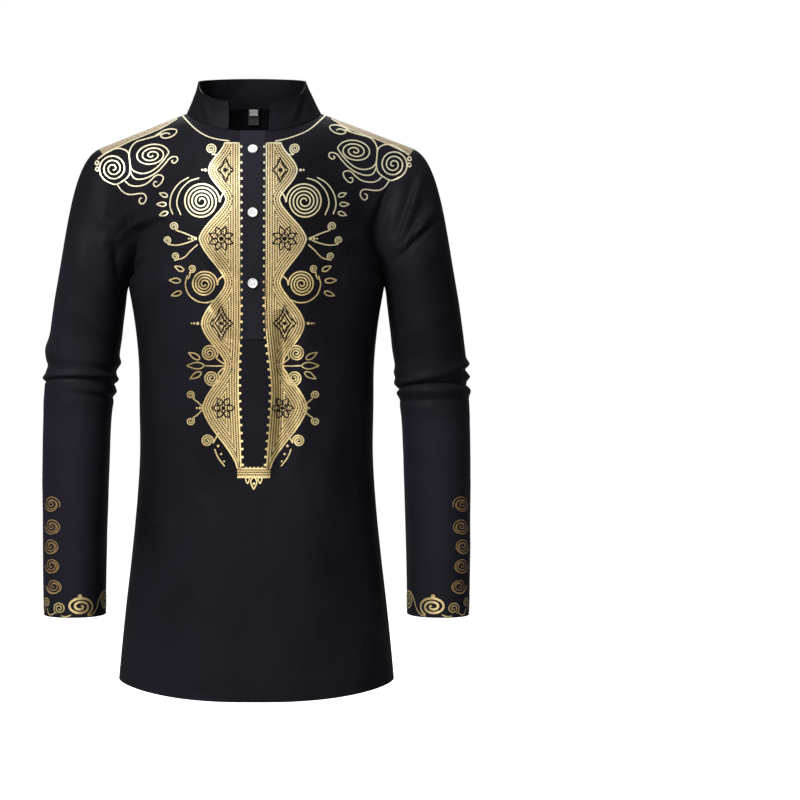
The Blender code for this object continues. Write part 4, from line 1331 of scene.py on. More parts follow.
def dress_sleeves():
    """Both sleeves, from cuff to armhole."""
    form = cloth_forms()
    dress_cloth("sleeve_left", form.sleeve_left[::-1], "sleeve_cloth", closed=True)
    dress_cloth("sleeve_right", form.sleeve_right[::-1, ::-1], "sleeve_cloth", closed=True)


def dress_collar():
    """The stand collar."""
    dress_cloth("collar", collar_grid(cloth_forms()), "collar_cloth", COLLAR_CLOTH)


def dress_placket():
    """The strip over the slit and the one under it."""
    top = placket_grid(cloth_forms())
    dress_cloth("placket", top, "placket_cloth")
    dress_cloth("placket_under", top - STRIP_GAP * normals_of(top), "placket_cloth")


def cylinder(vertices, radius, depth, location):
    """A new cylinder, the only thing selected."""
    bpy.ops.object.select_all(action="DESELECT")
    bpy.ops.mesh.primitive_cylinder_add(vertices=vertices, radius=radius, depth=depth, location=location)
    return bpy.context.object


def model_button():
    """One button at the origin, its face along +Z: turned rim, dish and four drilled holes."""
    thick = BUTTON_THICKNESS
    button = cylinder(48, BUTTON_RADIUS * BUTTON_BODY, thick, (0, 0, thick / 2))
    bpy.ops.object.transform_apply(location=True)
    bpy.ops.object.mode_set(mode="EDIT")
    bpy.ops.mesh.select_mode(type="FACE")
    mesh = bmesh.from_edit_mesh(button.data)
    for face in mesh.faces:
        face.select_set(face.normal.z > 0.9)
    mesh.select_flush_mode()
    bmesh.update_edit_mesh(button.data)
    for inwards, up in BUTTON_STEPS:
        bpy.ops.mesh.inset(thickness=BUTTON_RADIUS * inwards, depth=thick * up)
    bpy.ops.object.mode_set(mode="OBJECT")
    bevel = button.modifiers.new("turned edges", "BEVEL")
    bevel.width, bevel.segments = thick * BUTTON_BEVEL, 3
    bevel.limit_method, bevel.angle_limit = "ANGLE", BEVEL_FROM
    apply_modifiers(button)
    for x in (-HOLE_SPACING, HOLE_SPACING):
        for y in (-HOLE_SPACING, HOLE_SPACING):
            drill = cylinder(20, HOLE_RADIUS, thick * 4, (x, y, 0))
            cut = button.modifiers.new("hole", "BOOLEAN")
            cut.object, cut.operation, cut.solver = drill, "DIFFERENCE", "EXACT"
            apply_modifiers(button)
            bpy.data.objects.remove(drill)
    return button


def model_thread():
    """The stitches that hold a button: two bars across its holes, each of two rounded threads."""
    bars = []
    for x in (-HOLE_SPACING, HOLE_SPACING):
        for shift in (-THREAD_GAUGE * 0.9, THREAD_GAUGE * 0.9):
            bpy.ops.object.select_all(action="DESELECT")
            bpy.ops.mesh.primitive_torus_add(
                major_radius=HOLE_SPACING,
                minor_radius=THREAD_GAUGE,
                major_segments=24,
                minor_segments=8,
                rotation=(0, math.pi / 2, 0),
                location=(x + shift, 0, THREAD_Z),
            )
            bar = bpy.context.object
            bpy.ops.object.transform_apply(location=True, rotation=True)
            for vertex in bar.data.vertices:
                above = vertex.co.z - THREAD_Z
                vertex.co.z = THREAD_Z + above * (THREAD_RISE if above > 0 else 1.0)
            bars.append(bar)
    bpy.ops.object.select_all(action="DESELECT")
    for bar in bars:
        bar.select_set(True)
    bpy.context.view_layer.objects.active = bars[0]
    bpy.ops.object.join()
    return bars[0]


def dress_buttons():
    """Three buttons with their threads, square on the placket over the solids' own buttons."""
    top = placket_grid(cloth_forms())
    middle, out = top[:, PLACKET_COLUMNS // 2], normals_of(top)[:, PLACKET_COLUMNS // 2]
    button, thread = model_button(), model_thread()
    for number, (z, degrees, (low, high)) in enumerate(zip(BUTTON_Z, BUTTON_TURNS, BUTTON_BOXES), start=1):
        outward = Vector(out[np.argmin(np.abs(middle[:, 2] - z))])
        seat = (Vector(low) + Vector(high)) / 2 - outward * BUTTON_THICKNESS / 2
        turn = outward.to_track_quat("Z", "Y").to_matrix().to_4x4()
        turn = Matrix.Translation(seat) @ turn @ Matrix.Rotation(math.radians(degrees), 4, "Z")
        for model, name, finish in (
            (button, f"shirt_button_{number}", "button_shell"),
            (thread, f"button_thread_{number}", "white_thread"),
        ):
            piece = model.copy()
            piece.data = model.data.copy()
            piece.name = name
            bpy.context.scene.collection.objects.link(piece)
            piece.data.transform(turn)
            dressed(piece, finish)
            if model is button:
                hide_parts(f"button_{number}")
    for model in (button, thread):
        bpy.data.objects.remove(model)


def inside_point(back, normals, x, down, depth):
    """A point that is depth inside the back's cloth, at x and down along the cloth from the neck seam."""
    line = back[-1, SHOULDER_COLUMNS:-SHOULDER_COLUMNS, 0]
    k = SHOULDER_COLUMNS + int(np.argmax(line < x))
    share = (x - back[-1, k - 1, 0]) / (back[-1, k, 0] - back[-1, k - 1, 0])
    points = mix(back[:, k - 1], back[:, k], share)[::-1]
    outward = mix(normals[:, k - 1], normals[:, k], share)[::-1]
    run = run_along(points)
    return read_at(points, down, run) - depth * unit(read_at(outward, down, run))


def dress_labels():
    """The bare neck label and the white size tab, sewn in at the back of the neck."""
    back = cloth_forms().back
    normals = normals_of(back)
    for name, half, length, depth, finish, slot in (
        ("neck_label", LABEL_HALF, LABEL_LENGTH, CLOTH + LABEL_GAP, "label_weave", "label_cloth"),
        ("size_tab", TAB_HALF, TAB_LENGTH, CLOTH + LABEL_GAP + LABEL_CLOTH, "tab_weave", "tab_cloth"),
    ):
        grid = []
        for down in np.linspace(LABEL_TOP_GAP + length, LABEL_TOP_GAP, LABEL_ROWS):
            share = max(0.0, (down - LABEL_TOP_GAP) / length - LABEL_FLAT)
            curl = LABEL_CURL * length / LABEL_LENGTH * share**2
            for x in np.linspace(-half, half, LABEL_COLUMNS):
                inwards = depth + LABEL_CLOTH + curl * (1 + (x / half) ** 2)
                grid.append(inside_point(back, normals, LABEL_X + x, down, inwards))
        grid = np.reshape(grid, (LABEL_ROWS, LABEL_COLUMNS, 3))
        piece = shell(f"sewn_{name}", grid, LABEL_WALL, finish, slot)
        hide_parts(name)


# Stitches


def stitch_row(points, normals, pitch, length, gauge):
    """Small spindles of thread along a line on the cloth."""
    run = run_along(points)
    marks = np.interp(np.arange(pitch / 2, run[-1], pitch), run, np.arange(len(points)))
    centre, out = read_at(points, marks), unit(read_at(normals, marks))
    ahead = unit(read_at(np.gradient(points, axis=0), marks))
    side = unit(np.cross(out, ahead))
    spindle = (
        centre - ahead * length / 2,
        centre + side * gauge / 2 + out * gauge * 0.05,
        centre + out * gauge * 0.35,
        centre - side * gauge / 2 + out * gauge * 0.05,
        centre - out * gauge * 0.5,
        centre + ahead * length / 2,
    )
    points = np.stack(spindle, axis=1).reshape(-1, 3)
    faces = []
    for k in range(len(marks)):
        a = 6 * k
        for p, q in ((1, 2), (2, 3), (3, 4), (4, 1)):
            faces.append((a, a + q, a + p))
            faces.append((a + 5, a + p, a + q))
    return points, faces


def stitches(name, rows):
    """One piece from several stitched lines, each of points and normals."""
    pitch = bpy.context.scene.shirt_sizes.stitch
    points, faces = [], []
    for line, normals in rows:
        more, spindles = stitch_row(line, normals, pitch, pitch * STITCH_LENGTH, STITCH_GAUGE)
        faces.extend([[len(points) + k for k in face] for face in spindles])
        points.extend(more.tolist())
    new_piece(name, points, faces, "black_thread")


def line_in(grid, rows, columns, sign=1):
    """A line on the grid through fractional rows and columns, and its normals."""
    rows, columns = np.broadcast_arrays(np.asarray(rows, float), np.asarray(columns, float))
    return sample(grid, rows, columns), sign * unit(sample(normals_of(grid), rows, columns))


def rows_above(grid, column, distance):
    """The fractional row that lies that far up a column from the first row."""
    return float(np.interp(distance, run_along(grid[:, column]), np.arange(len(grid))))


def dress_stitches():
    """The sewing lines of hem, cuffs, armholes, shoulders, placket and collar."""
    form = cloth_forms()
    body = []
    for grid in (form.front, form.back):
        top, last = grid.shape[0] - 1, grid.shape[1] - 1
        hem = rows_above(grid, (last + 1) // 2, HEM_STITCHES)
        body.append(line_in(grid, hem, np.arange(last + 1)))
        for columns in (np.arange(SHOULDER_COLUMNS + 1), np.arange(last - SHOULDER_COLUMNS, last + 1)):
            body.append(line_in(grid, top - SHOULDER_STITCHES, columns))
        for column in (ARMHOLE_STITCHES, last - ARMHOLE_STITCHES):
            body.append(line_in(grid, np.arange(LOWER_ROWS, top + 1), column))
    stitches("stitches_body", body)
    cuffs = []
    for grid, sign in ((form.sleeve_left, -1), (form.sleeve_right, 1)):
        ring = wrapped(grid)
        row = len(grid) - 1 - rows_above(grid[::-1], UPPER_ROWS, CUFF_STITCHES)
        cuffs.append(line_in(ring, row, np.arange(ring.shape[1]), sign))
    stitches("stitches_cuffs", cuffs)
    strip = placket_grid(form)
    lines = [line_in(strip, np.arange(0.5, len(strip) - 1), column) for column in PLACKET_STITCHES]
    lines += [line_in(strip, row, np.linspace(*PLACKET_STITCHES, 40)) for row in PLACKET_BARS]
    stitches("stitches_placket", lines)
    collar = collar_grid(form)
    foot, top, last = COLLAR_FOOT_STITCHES, len(collar) - 1 - COLLAR_TOP_STITCHES, collar.shape[1] - 1
    lines = [line_in(collar, row, np.arange(0.5, last)) for row in (foot, top)]
    for column in (COLLAR_END_STITCHES, last - COLLAR_END_STITCHES):
        lines.append(line_in(collar, np.arange(foot, top, 0.5), column))
    stitches("stitches_collar", lines)


# The print. Its chart is this shirt's own: lobes of dotted gold beside the placket, scrolls and leaves.
# x runs across and z up from the shoulders' height. u runs outwards from the placket's edge on both sides.

INNER_EDGE = {
    -1: ((-488, -21.2), (-440, -23.0), (-395, -25.0), (-345, -25.0))
    + ((-312, -23.6), (-200, -23.4), (-36, -23.6)),
    1: ((-488, 13.6), (-427, 18.4), (-375, 21.0), (-330, 17.0))
    + ((-300, 13.9), (-200, 13.2), (-36, 13.6)),
}
PLACKET_EDGE = {-1: -23.4, 1: 13.6}  # where u is 0
PANEL_TOP, PANEL_BOTTOM = -41.0, -487.0
PANEL_ROWS, PANEL_COLUMNS, OUTLINE_POINTS = 262, 30, 298
FULLNESS = 0.8  # power; under 1 a round lobe is fuller
BAND_BOTTOM = -498.5
BAND_ROWS = 9
WAVE, WAVE_POINTS = 0.9, 31  # of the band's lower edge
TOOTH, TOOTH_WIDTH, TOOTH_PITCH = (0, 2.2, 4.2), 3.5, 10.9  # along the panels' inner edges
BAND_TOOTH, BAND_TOOTH_WIDTH = 2.4, 2.2
BAND_TEETH = np.arange(-14.0, 9.0, 5.4)
HOLLOW = 0.22  # how far a lozenge's sides bend in


class Lobe(NamedTuple):
    """A lobe of the dotted panel: heights of its tip and ends, its reach outwards and its waists' widths."""

    tip: float
    top: float
    bottom: float
    reach: float
    waist_above: float
    waist_below: float
    point: float  # 0 is a round tip, 1 a pointed one


LOBES = (
    Lobe(-78, -41, -118, 42, 20, 18, 0.10),
    Lobe(-172, -118, -232, 55, 18, 19, 0.22),
    Lobe(-288, -232, -345, 52, 19, 17, 0.10),
    Lobe(-404, -345, -487, 49, 17, 5, 0.20),
)


def inner_edge(side, z):
    """Where the panel's edge beside the placket lies on the chart."""
    heights, places = zip(*INNER_EDGE[side])
    return hermite(heights, places, z)


def panel_width(z):
    """How wide the dotted panel is at these heights."""
    z = np.asarray(z, float)
    width = np.full(z.shape, LOBES[0].waist_above)
    for lobe in LOBES:
        above, inside = z >= lobe.tip, (z <= lobe.top) & (z >= lobe.bottom)
        end = np.where(above, lobe.top, lobe.bottom)
        t = np.clip((z - lobe.tip) / (end - lobe.tip), 0, 1)
        rise = mix(((1 + np.cos(math.pi * t)) / 2) ** FULLNESS, (1 - t) ** 2, lobe.point)
        waist = np.where(above, lobe.waist_above, lobe.waist_below)
        width = np.where(inside, waist + (lobe.reach - waist) * rise, width)
    return width


def outer_line(side):
    """The panel's outer edge from top to bottom."""
    z = np.linspace(PANEL_TOP, PANEL_BOTTOM, OUTLINE_POINTS)
    return np.stack([inner_edge(side, z) + side * panel_width(z), z], axis=1)


def band_ends():
    """Where the band below the panels starts and ends."""
    return [inner_edge(side, PANEL_BOTTOM) + side * panel_width(PANEL_BOTTOM) for side in (-1, 1)]


def dotted_faces(spots, edges, start):
    """Faces of a grid of chart places, and flat places whose rows follow the nearest of these edges."""
    corners, faces = cells(*spots.shape[:2], start=start)
    away, along = [], []
    for edge in edges:
        distance, index = nearest_on(edge, spots)
        run = np.interp(index, np.arange(len(edge)), run_along(edge))
        away.append(at_corners(distance, corners))
        along.append(at_corners(run, corners))
    chosen = np.argmin(np.mean(away, axis=2), axis=0), np.arange(len(faces))
    flat = np.stack([np.array(away)[chosen], np.array(along)[chosen]], axis=-1) / 1000
    return faces, flat.reshape(-1, 2)


def print_panels():
    """The dotted gold panels on both sides of the placket, and the band that joins them below it."""
    sheets = []
    z = np.linspace(PANEL_TOP, PANEL_BOTTOM, PANEL_ROWS)[:, None]
    for side in (-1, 1):
        x = inner_edge(side, z) + side * panel_width(z) * np.linspace(0, 1, PANEL_COLUMNS)
        edge = np.concatenate([inner_edge(side, z), z], axis=1)
        sheets.append((np.stack([x, z + 0 * x], axis=-1), (edge, outer_line(side))))
    left, right = band_ends()
    x, z = np.linspace(left, right, PANEL_COLUMNS), np.linspace(PANEL_BOTTOM, BAND_BOTTOM, BAND_ROWS)
    edge = np.array([(left, PANEL_BOTTOM), (right, PANEL_BOTTOM)])
    sheets.append((np.stack(np.meshgrid(x, z), axis=-1), (edge,)))
    points, faces, flat = [], [], []
    for spots, edges in sheets:
        squares, places = dotted_faces(spots, edges, len(points))
        points.extend(laid(spots.reshape(-1, 2), PRINT_LIFT).tolist())
        faces.extend(squares.tolist())
        flat.extend(places.tolist())
    foil("print_panels", points, faces, "dotted_foil", flat)


def out_from(side, line):
    """A line in u and z, put on that side of the placket."""
    line = np.asarray(line, float)
    return np.stack([PLACKET_EDGE[side] + side * line[:, 0], line[:, 1]], axis=1)


def line_width():
    """The width of the print's main lines, in millimetres."""
    return bpy.context.scene.shirt_sizes.print_line * 1000


FRONT_BEADS = (
    (46.5, -78, 2.0),
    (50.8, -78, 1.4),
    (60.0, -172, 2.3),
    (65.2, -172, 1.7),
    (69.2, -172, 1.2),
    (57.0, -288, 2.2),
    (61.8, -288, 1.6),
    (65.4, -288, 1.1),
    (53.8, -404, 2.1),
    (58.2, -404, 1.5),
    (29.0, -456, 1.8),
    (25.0, -467, 1.5),
    (21.0, -477, 1.2),
)


def front_scrolls():
    """Lines beside the panels, each with its width as a share of the print's line."""
    small = 0.85
    return [
        # a curl at the neck
        (stem(spiral(39, -49, 7.5, 2.4, -100), (33, -57), (27, -56)), small),
        # in the first waist: the large scroll inside its arcs, with three leaves
        (stem(spiral(52, -121, 25.0, 4.5, 182), (24, -113), (19, -107)), 1.0),
        (smooth((55, -89), (69, -94), (81, -107), (85.5, -124), (80, -140)), small),
        (smooth((69, -88), (82, -96), (92, -110), (95, -126), (91, -139)), small),
        (leaf(98, -114, 12, 5.5, 20), small),
        (leaf(100, -125, 13, 5.5, 0), small),
        (leaf(98, -136, 12, 5.5, -20), small),
        # beside the second lobe's tip: three tendrils that curl in
        (stem(spiral(90, -155, 6.0, 2.0, -120), (74, -165), (60, -171)), small),
        (stem(spiral(99, -174, 5.5, 2.0, -100), (86, -181), (72, -178), (62, -174)), small),
        (stem(spiral(88, -196, 5.5, 1.9, -80), (76, -198), (66, -188), (57, -180)), small),
        # in the second waist: a scroll inside an arc
        (stem(spiral(48, -234, 18.0, 4.0, 186), (28, -228), (20, -222)), 1.0),
        (smooth((34, -256), (44, -259.5), (57, -258), (69, -249), (74, -235), (71, -222)), small),
        (stem(spiral(65, -213, 5.5, 1.9, -60), (68, -223), (71, -228)), small),
        (leaf(76, -216, 14, 6, 26), small),
        (leaf(80, -230, 16, 6.5, 4), small),
        (leaf(79, -245, 15, 6, -20), small),
        # in the third waist: two scrolls back to back with leaves between them
        (stem(spiral(41, -329, 11.5, 3.0, 215), (25, -341), (17, -345)), 0.95),
        (stem(spiral(38, -363, 11.0, 3.0, 145, sense=-1), (24, -351), (17, -347)), 0.95),
        (leaf(48, -346, 24, 9, 0), small),
        (leaf(54, -337, 18, 7, 30), small),
        (leaf(52, -355, 18, 7, -30), small),
        (smooth((18, -346), (32, -346.5), (47, -346)), small),
        # at the fourth lobe's tip and below it
        (stem(spiral(67, -386, 5.8, 2.0, -130), (57, -396), (50, -402)), small),
        (stem(spiral(67, -422, 5.8, 2.0, 130, sense=-1), (57, -413), (50, -406)), small),
        (stem(spiral(44, -449, 8.5, 2.5, 200), (31, -443), (28, -438)), 0.95),
        (smooth((34, -460), (29, -472), (20, -484)), small),
    ]


def print_front_lines():
    """Outlines, teeth, scrolls, leaves and beads of the front."""
    drawing = Drawing(lift=PRINT_LIFT + FOIL)
    line = line_width()
    for side in (-1, 1):
        outer = outer_line(side)
        top = [inner_edge(side, PANEL_TOP), PANEL_TOP]
        drawing.ribbon(np.concatenate([[top], outer[::2], outer[-1:]]), line * 1.1)
        z = np.arange(PANEL_TOP, PANEL_BOTTOM, -2.0)
        drawing.ribbon(np.stack([inner_edge(side, z), z], axis=1), line * 0.9)
        for height in np.arange(PANEL_TOP - 5, PANEL_BOTTOM + 4, -TOOTH_PITCH):
            x = inner_edge(side, height)
            drawing.ribbon([(x - side * reach, height) for reach in TOOTH], TOOTH_WIDTH, TOOTH_ENDS)
        for scroll, width in front_scrolls():
            drawing.ribbon(out_from(side, scroll), line * width)
        for spot in FRONT_BEADS:
            drawing.dot(out_from(side, bead(*spot)))
    left, right = band_ends()
    places = enumerate(np.linspace(left, right, WAVE_POINTS))
    drawing.ribbon([(x, BAND_BOTTOM - WAVE * (k % 2)) for k, x in places], line)
    inner = [inner_edge(side, PANEL_BOTTOM) for side in (-1, 1)]
    drawing.ribbon([(x, PANEL_BOTTOM) for x in np.linspace(*inner, 16)], line)
    for x in BAND_TEETH:
        drawing.ribbon([(x, PANEL_BOTTOM), (x, PANEL_BOTTOM + BAND_TOOTH)], BAND_TOOTH_WIDTH, TOOTH_ENDS)
    middle = (left + right) / 2
    drawing.ribbon(leaf(middle, BAND_BOTTOM, 17, 8, -90), line * 0.9)
    drawing.dot(bead(middle, BAND_BOTTOM - 9, 1.7))
    for shift in (-8.5, 8.5):
        drawing.ribbon(leaf(middle + shift, BAND_BOTTOM, 9, 5, -90), line * 0.8)
    drawing.piece("print_front_lines", "gold_foil")


def petals(x, z, count, near, far, width, turn):
    """A ring of leaves round a middle, the first of them at the angle turn."""
    made = []
    for angle in turn + 360 / count * np.arange(count):
        a = math.radians(angle)
        made.append(leaf(x + near * math.cos(a), z + near * math.sin(a), far - near, width, angle))
    return made


def lozenge(x, z, half_width, half_height):
    """A closed diamond, a little hollow in its sides."""
    corners = np.array([(1, 0), (0, 1), (-1, 0), (0, -1), (1, 0)])
    share = np.linspace(0, 1, 9)[:-1, None]
    bow = 1 - HOLLOW * np.sin(math.pi * share)
    sides = [mix(a, b, share) * bow for a, b in zip(corners, corners[1:])]
    return np.concatenate([*sides, corners[-1:]]) * (half_width, half_height) + (x, z)


def front_marks():
    """The mark in each lobe: its middle in u and z, its lines and their width, and the radius of its bead."""
    return (
        ((19, -78), [lozenge(19, -78, 11, 17)], 2.2, 3.0),
        ((25, -172), petals(25, -172, 8, 5.0, 17.5, 7.2, 22.5), 1.8, 3.2),
        ((25, -288), [lozenge(25, -288, 16, 25), lozenge(25, -288, 9, 14)], 2.1, 2.6),
        ((22, -404), petals(22, -404, 6, 4.5, 15.5, 7.6, 0.0), 1.8, 2.9),
    )


def print_front_marks():
    """The dark drawing inside the lobes, where the foil leaves the cloth bare: rosettes and lozenges."""
    drawing = Drawing(lift=PRINT_LIFT + FOIL)
    for side in (-1, 1):
        for middle, lines, width, radius in front_marks():
            for line in lines:
                drawing.ribbon(out_from(side, line), width)
            drawing.dot(out_from(side, bead(*middle, radius)))
    drawing.piece("print_front_marks", "dark_print")


# Shoulders: u runs outwards and z up from the middle of the larger spiral
SHOULDER_MIDDLES = {-1: (-142.5, -56.2), 1: (133.6, -50.7)}
UPPER_STEM = ((-17.1, -6), (-8.4, -16), (1.6, -23.5), (12.8, -26.6), (22.8, -24.7), (29, -19.7), (31, -13))
LOWER_STEM = ((51, -41.6), (40.2, -36.5), (32.7, -29.7), (30.5, -19.7), (31.2, -9.8), (31.8, -2))
SHOULDER_STEMS = (
    # from the band down between the spirals
    ((-13, 28), (-1, 23.6), (11.5, 20.1), (21.5, 17), (27.7, 11.4))
    + ((30.8, 5.2), (31.8, -1), (31.2, -10)),
    # over the smaller spiral
    ((31.5, -5), (32.7, 0.8), (35.8, 4.6), (41.4, 7.1), (47.7, 7.7))
    + ((55.1, 5.8), (65.1, 0.2), (75, -7)),
    # three tendrils that end in curls
    ((30.8, -22), (27.7, -29.7), (22.8, -34), (12.8, -34), (1.6, -29.7))
    + ((-8.4, -22.8), (-17.1, -13.5), (-23.3, -6), (-28.9, -3.5), (-33.9, -4.4))
    + ((-34.2, -8.9), (-30, -12.4), (-26.4, -10.4), (-28.4, -7.9)),
    ((38.3, -36.5), (31.5, -42.1), (22.8, -44), (11.5, -42.1), (2.8, -36.5))
    + ((-3.4, -30.3), (-9.6, -28.4), (-14.6, -30.9), (-14, -36.5), (-9.6, -42.1))
    + ((-4.6, -44.7), (-1.5, -41.5), (-3.4, -37.8), (-6.8, -38.4)),
    ((48.3, -41.5), (42.7, -49.6), (35.2, -54.6), (26.5, -55.2), (17.8, -54))
    + ((11.5, -54.6), (8.4, -59.6), (10.3, -65.8), (14.7, -68.3), (18, -65.2))
    + ((17.1, -60.8), (14, -60.2)),
    # the flat curl under the band
    ((-3, 24.2), (-6.5, 26.8), (-15, 31.8), (-24, 34.2), (-32.6, 33.2))
    + ((-32.2, 28.4), (-25.6, 23.6), (-17.2, 21.8), (-11.4, 24.2), (-15.4, 28))
    + ((-21.5, 28.6), (-24.2, 26.6)),
)
SHOULDER_RINGS = ((76.0, -12.0), (75.7, -20.3))
SHOULDER_BAND = ((0, 0.35, 0.9, 1), (0.0100, 0.0078, 0.0066, 0.0040))  # its drop from the armhole to the neck
BAND_REACH = 60  # more rows than the band spans
BAND_START = 0.25  # rows below the seam
BAND_LINES = 9

# The neck line: its ends beside the placket in the chart's x and z, and its gap from the collar's foot
NECK_LINE_ENDS = (
    ((25.5, -38.6), (36.3, -36.8), (45.9, -34), (64.1, -27.8))
    + ((75, -21.5), (82.5, -15.0), (88, -9.0)),
    ((-37, -38.4), (-42.3, -37.6), (-52, -36.4), (-63.7, -34))
    + ((-78.9, -26.3), (-91.1, -15.6), (-95.5, -10)),
)
NECK_LINE_GAP = 0.0080
NECK_LINE_PASSES = 40  # of smoothing


def shoulder_scrolls():
    """Two spirals, the stems round them and two rings."""
    upper = spiral(1.1, -1.5, 23.8, 3.0, 180, squash=0.66, tilt=-9, core=0.05)
    lower = spiral(53.9, -19.7, 19.5, 3.0, -60, sense=-1, core=0.08)
    lines = [stem(upper, *UPPER_STEM), stem(lower, *LOWER_STEM)]
    lines += [smooth(*places) for places in SHOULDER_STEMS]
    return lines + [spiral(u, v, 2.5, 1.0, 0, core=1.0) for u, v in SHOULDER_RINGS]


def print_shoulders():
    """The scrolls of both shoulders."""
    for side, name in ((-1, "right"), (1, "left")):
        drawing = Drawing()
        for line in shoulder_scrolls():
            drawing.ribbon(line * (side, 1) + SHOULDER_MIDDLES[side], line_width() * 0.88)
        drawing.piece(f"print_shoulder_{name}", "gold_foil")


def seam_band(grid, columns, drops):
    """Places on a panel from the shoulder seam down to where its cloth has dropped that much."""
    lines = []
    for column, drop in zip(columns, drops):
        z = grid[::-1, column, 2]
        row = np.interp(drop, z[0] - z[:BAND_REACH], np.arange(BAND_REACH))
        lines.append(np.linspace(BAND_START, row, BAND_LINES))
    rows = len(grid) - 1 - np.stack(lines, axis=1)
    across = np.broadcast_to(np.asarray(columns, float), rows.shape)
    return sample(grid, rows, across) + PRINT_LIFT * unit(sample(normals_of(grid), rows, across))


def on_cloth(spots):
    """The cloth's places nearest to these, and the normals there."""
    found = [cloth_tree().find_nearest(Vector(spot)) for spot in spots]
    return (np.array([list(one[k]) for one in found]) for k in (0, 1))


def edge_ribbons(name, lines):
    """Narrow gold ribbons along lines of points on the body's cloth."""
    width = bpy.context.scene.shirt_sizes.print_line * 0.95
    points, faces = [], []
    for line in lines:
        near, out = on_cloth(line)
        side = unit(np.cross(out, unit(np.gradient(line, axis=0)))) * width / 2
        faces.extend(cells(3, len(line), start=len(points))[1].tolist())
        for shift, rise in ((side, 0), (0 * side, RIDGE), (-side, 0)):
            beneath, _ = on_cloth(near + shift)
            points.extend((beneath + out * (PRINT_LIFT + FOIL + rise)).tolist())
    flat = [(points[k][0], points[k][2]) for face in faces for k in face]
    foil(name, points, faces, "gold_foil", flat)


def print_shoulder_bands():
    """A dotted gold band that runs along each shoulder seam, with a fine line at its edges."""
    form = cloth_forms()
    count = SHOULDER_COLUMNS - 4
    drops = hermite(*SHOULDER_BAND, np.linspace(0, 1, count))
    points, faces, flat, edges = [], [], [], []
    for grid in (form.front, form.back):
        last = grid.shape[1] - 1
        for columns in (np.arange(count), last - np.arange(count)):
            band = seam_band(grid, columns, drops)
            corners, squares = cells(*band.shape[:2], start=len(points))
            faces.extend(squares.tolist())
            places = flat_places(band, False)[..., ::-1]
            flat.extend(at_corners(places, corners).reshape(-1, 2).tolist())
            points.extend(band.reshape(-1, 3).tolist())
            edges.append(band[-1])
    foil("print_shoulder_bands", points, faces, "band_foil", flat)
    edge_ribbons("print_shoulder_edges", edges)


def laid_from_above(spots):
    """Places in x and y, in metres, dropped on the shoulders."""
    points = []
    for x, y in spots:
        place, _, _, _ = cloth_tree().ray_cast(Vector((x, y, 0.5)), Vector((0, 0, -1)))
        if place is None:
            raise RuntimeError(f"the neck line at {x:.3f}, {y:.3f} misses the cloth")
        points.append(list(place))
    return np.array(points)


def print_neck_line():
    """The gold line round the foot of the collar, open at the placket."""
    turn = np.radians(np.linspace(-14, 194, 130))
    x = NECK_X + (NECK_HALF + NECK_LINE_GAP) * np.cos(turn)
    y = np.where(np.sin(turn) < 0, NECK_LINE_GAP - FRONT.neck_y, NECK_LINE_GAP + BACK.neck_y) * np.sin(turn)
    left, right = (laid(smooth(*places), 0.0) for places in NECK_LINE_ENDS)
    line = np.concatenate([left, laid_from_above(np.stack([x, y], axis=1)), right[::-1]])
    for _ in range(NECK_LINE_PASSES):
        line[1:-1] += (line[:-2] + line[2:] - 2 * line[1:-1]) / 4
    edge_ribbons("print_neck_line", [line])


# Cuffs: u runs back from the outermost line of the sleeve and v up from its edge
ROUNDELS = ((-59, 152.5), (-59.5, 122), (-57, 95.5), (-59, 69.5), (-63, 42))
CUFF_SPIRALS = (
    # u, v, half width, half height, turns, where it leaves, sense, width
    (-101, 15.0, 19.5, 13.0, 2.35, -120, 1, 1.5),
    (-158, 20, 20.0, 14.0, 2.6, 200, 1, 1.1),
    (-72, 12.5, 9.5, 8.2, 2.2, -60, -1, 0.8),
    (-45, 19, 10.0, 7.0, 2.0, -60, -1, 0.7),
    (-12, 16, 15.0, 12.0, 2.6, -120, 1, 1.0),
    (26, 13, 9.0, 7.6, 2.0, -60, -1, 0.8),
    (58, 17, 16.0, 12.0, 2.6, -120, 1, 1.0),
    (92, 14, 9.0, 8.0, 2.0, -60, -1, 0.8),
)
CUFF_STEMS = (
    ((-149, 33), (-141, 29), (-134, 21), (-128, 11), (-120, 4), (-110, 1.6)),
    ((-88, 4), (-81, 1.6), (-74, 2.4)),
    ((-64, 6), (-57, 3), (-50, 4), (-46, 11)),
    ((-38, 12), (-32, 5), (-26, 4), (-18, 6)),
    ((0, 6), (8, 3), (16, 3), (22, 6)),
    ((32, 7), (38, 3), (46, 3.5), (52, 6)),
    ((70, 7), (76, 3), (82, 3), (88, 7)),
)
CUFF_BEADS = ((-101, 28.6, 3.0), (-10, 31, 2.2), (58, 32, 2.2))
BARBED_LINE = [(-8, v) for v in np.arange(30, 186, 3)]
BARBS = [((-9, v), (-12, v + 1.6), (-14.5, v + 0.4)) for v in np.arange(34, 184, 6.2)]


def cuff_ovals():
    """A rim and a spiral for each roundel, and the running scroll's spirals, as rows of CUFF_SPIRALS."""
    ovals = []
    for k, (u, v) in enumerate(ROUNDELS):
        ovals.append((u, v, 19.0, 12.6, 1.0, 0, 1, 0.8))
        ovals.append((u, v, 15.5, 10.2, 2.4, 205 + 37 * k, 1, 0.7))
    return ovals + list(CUFF_SPIRALS)


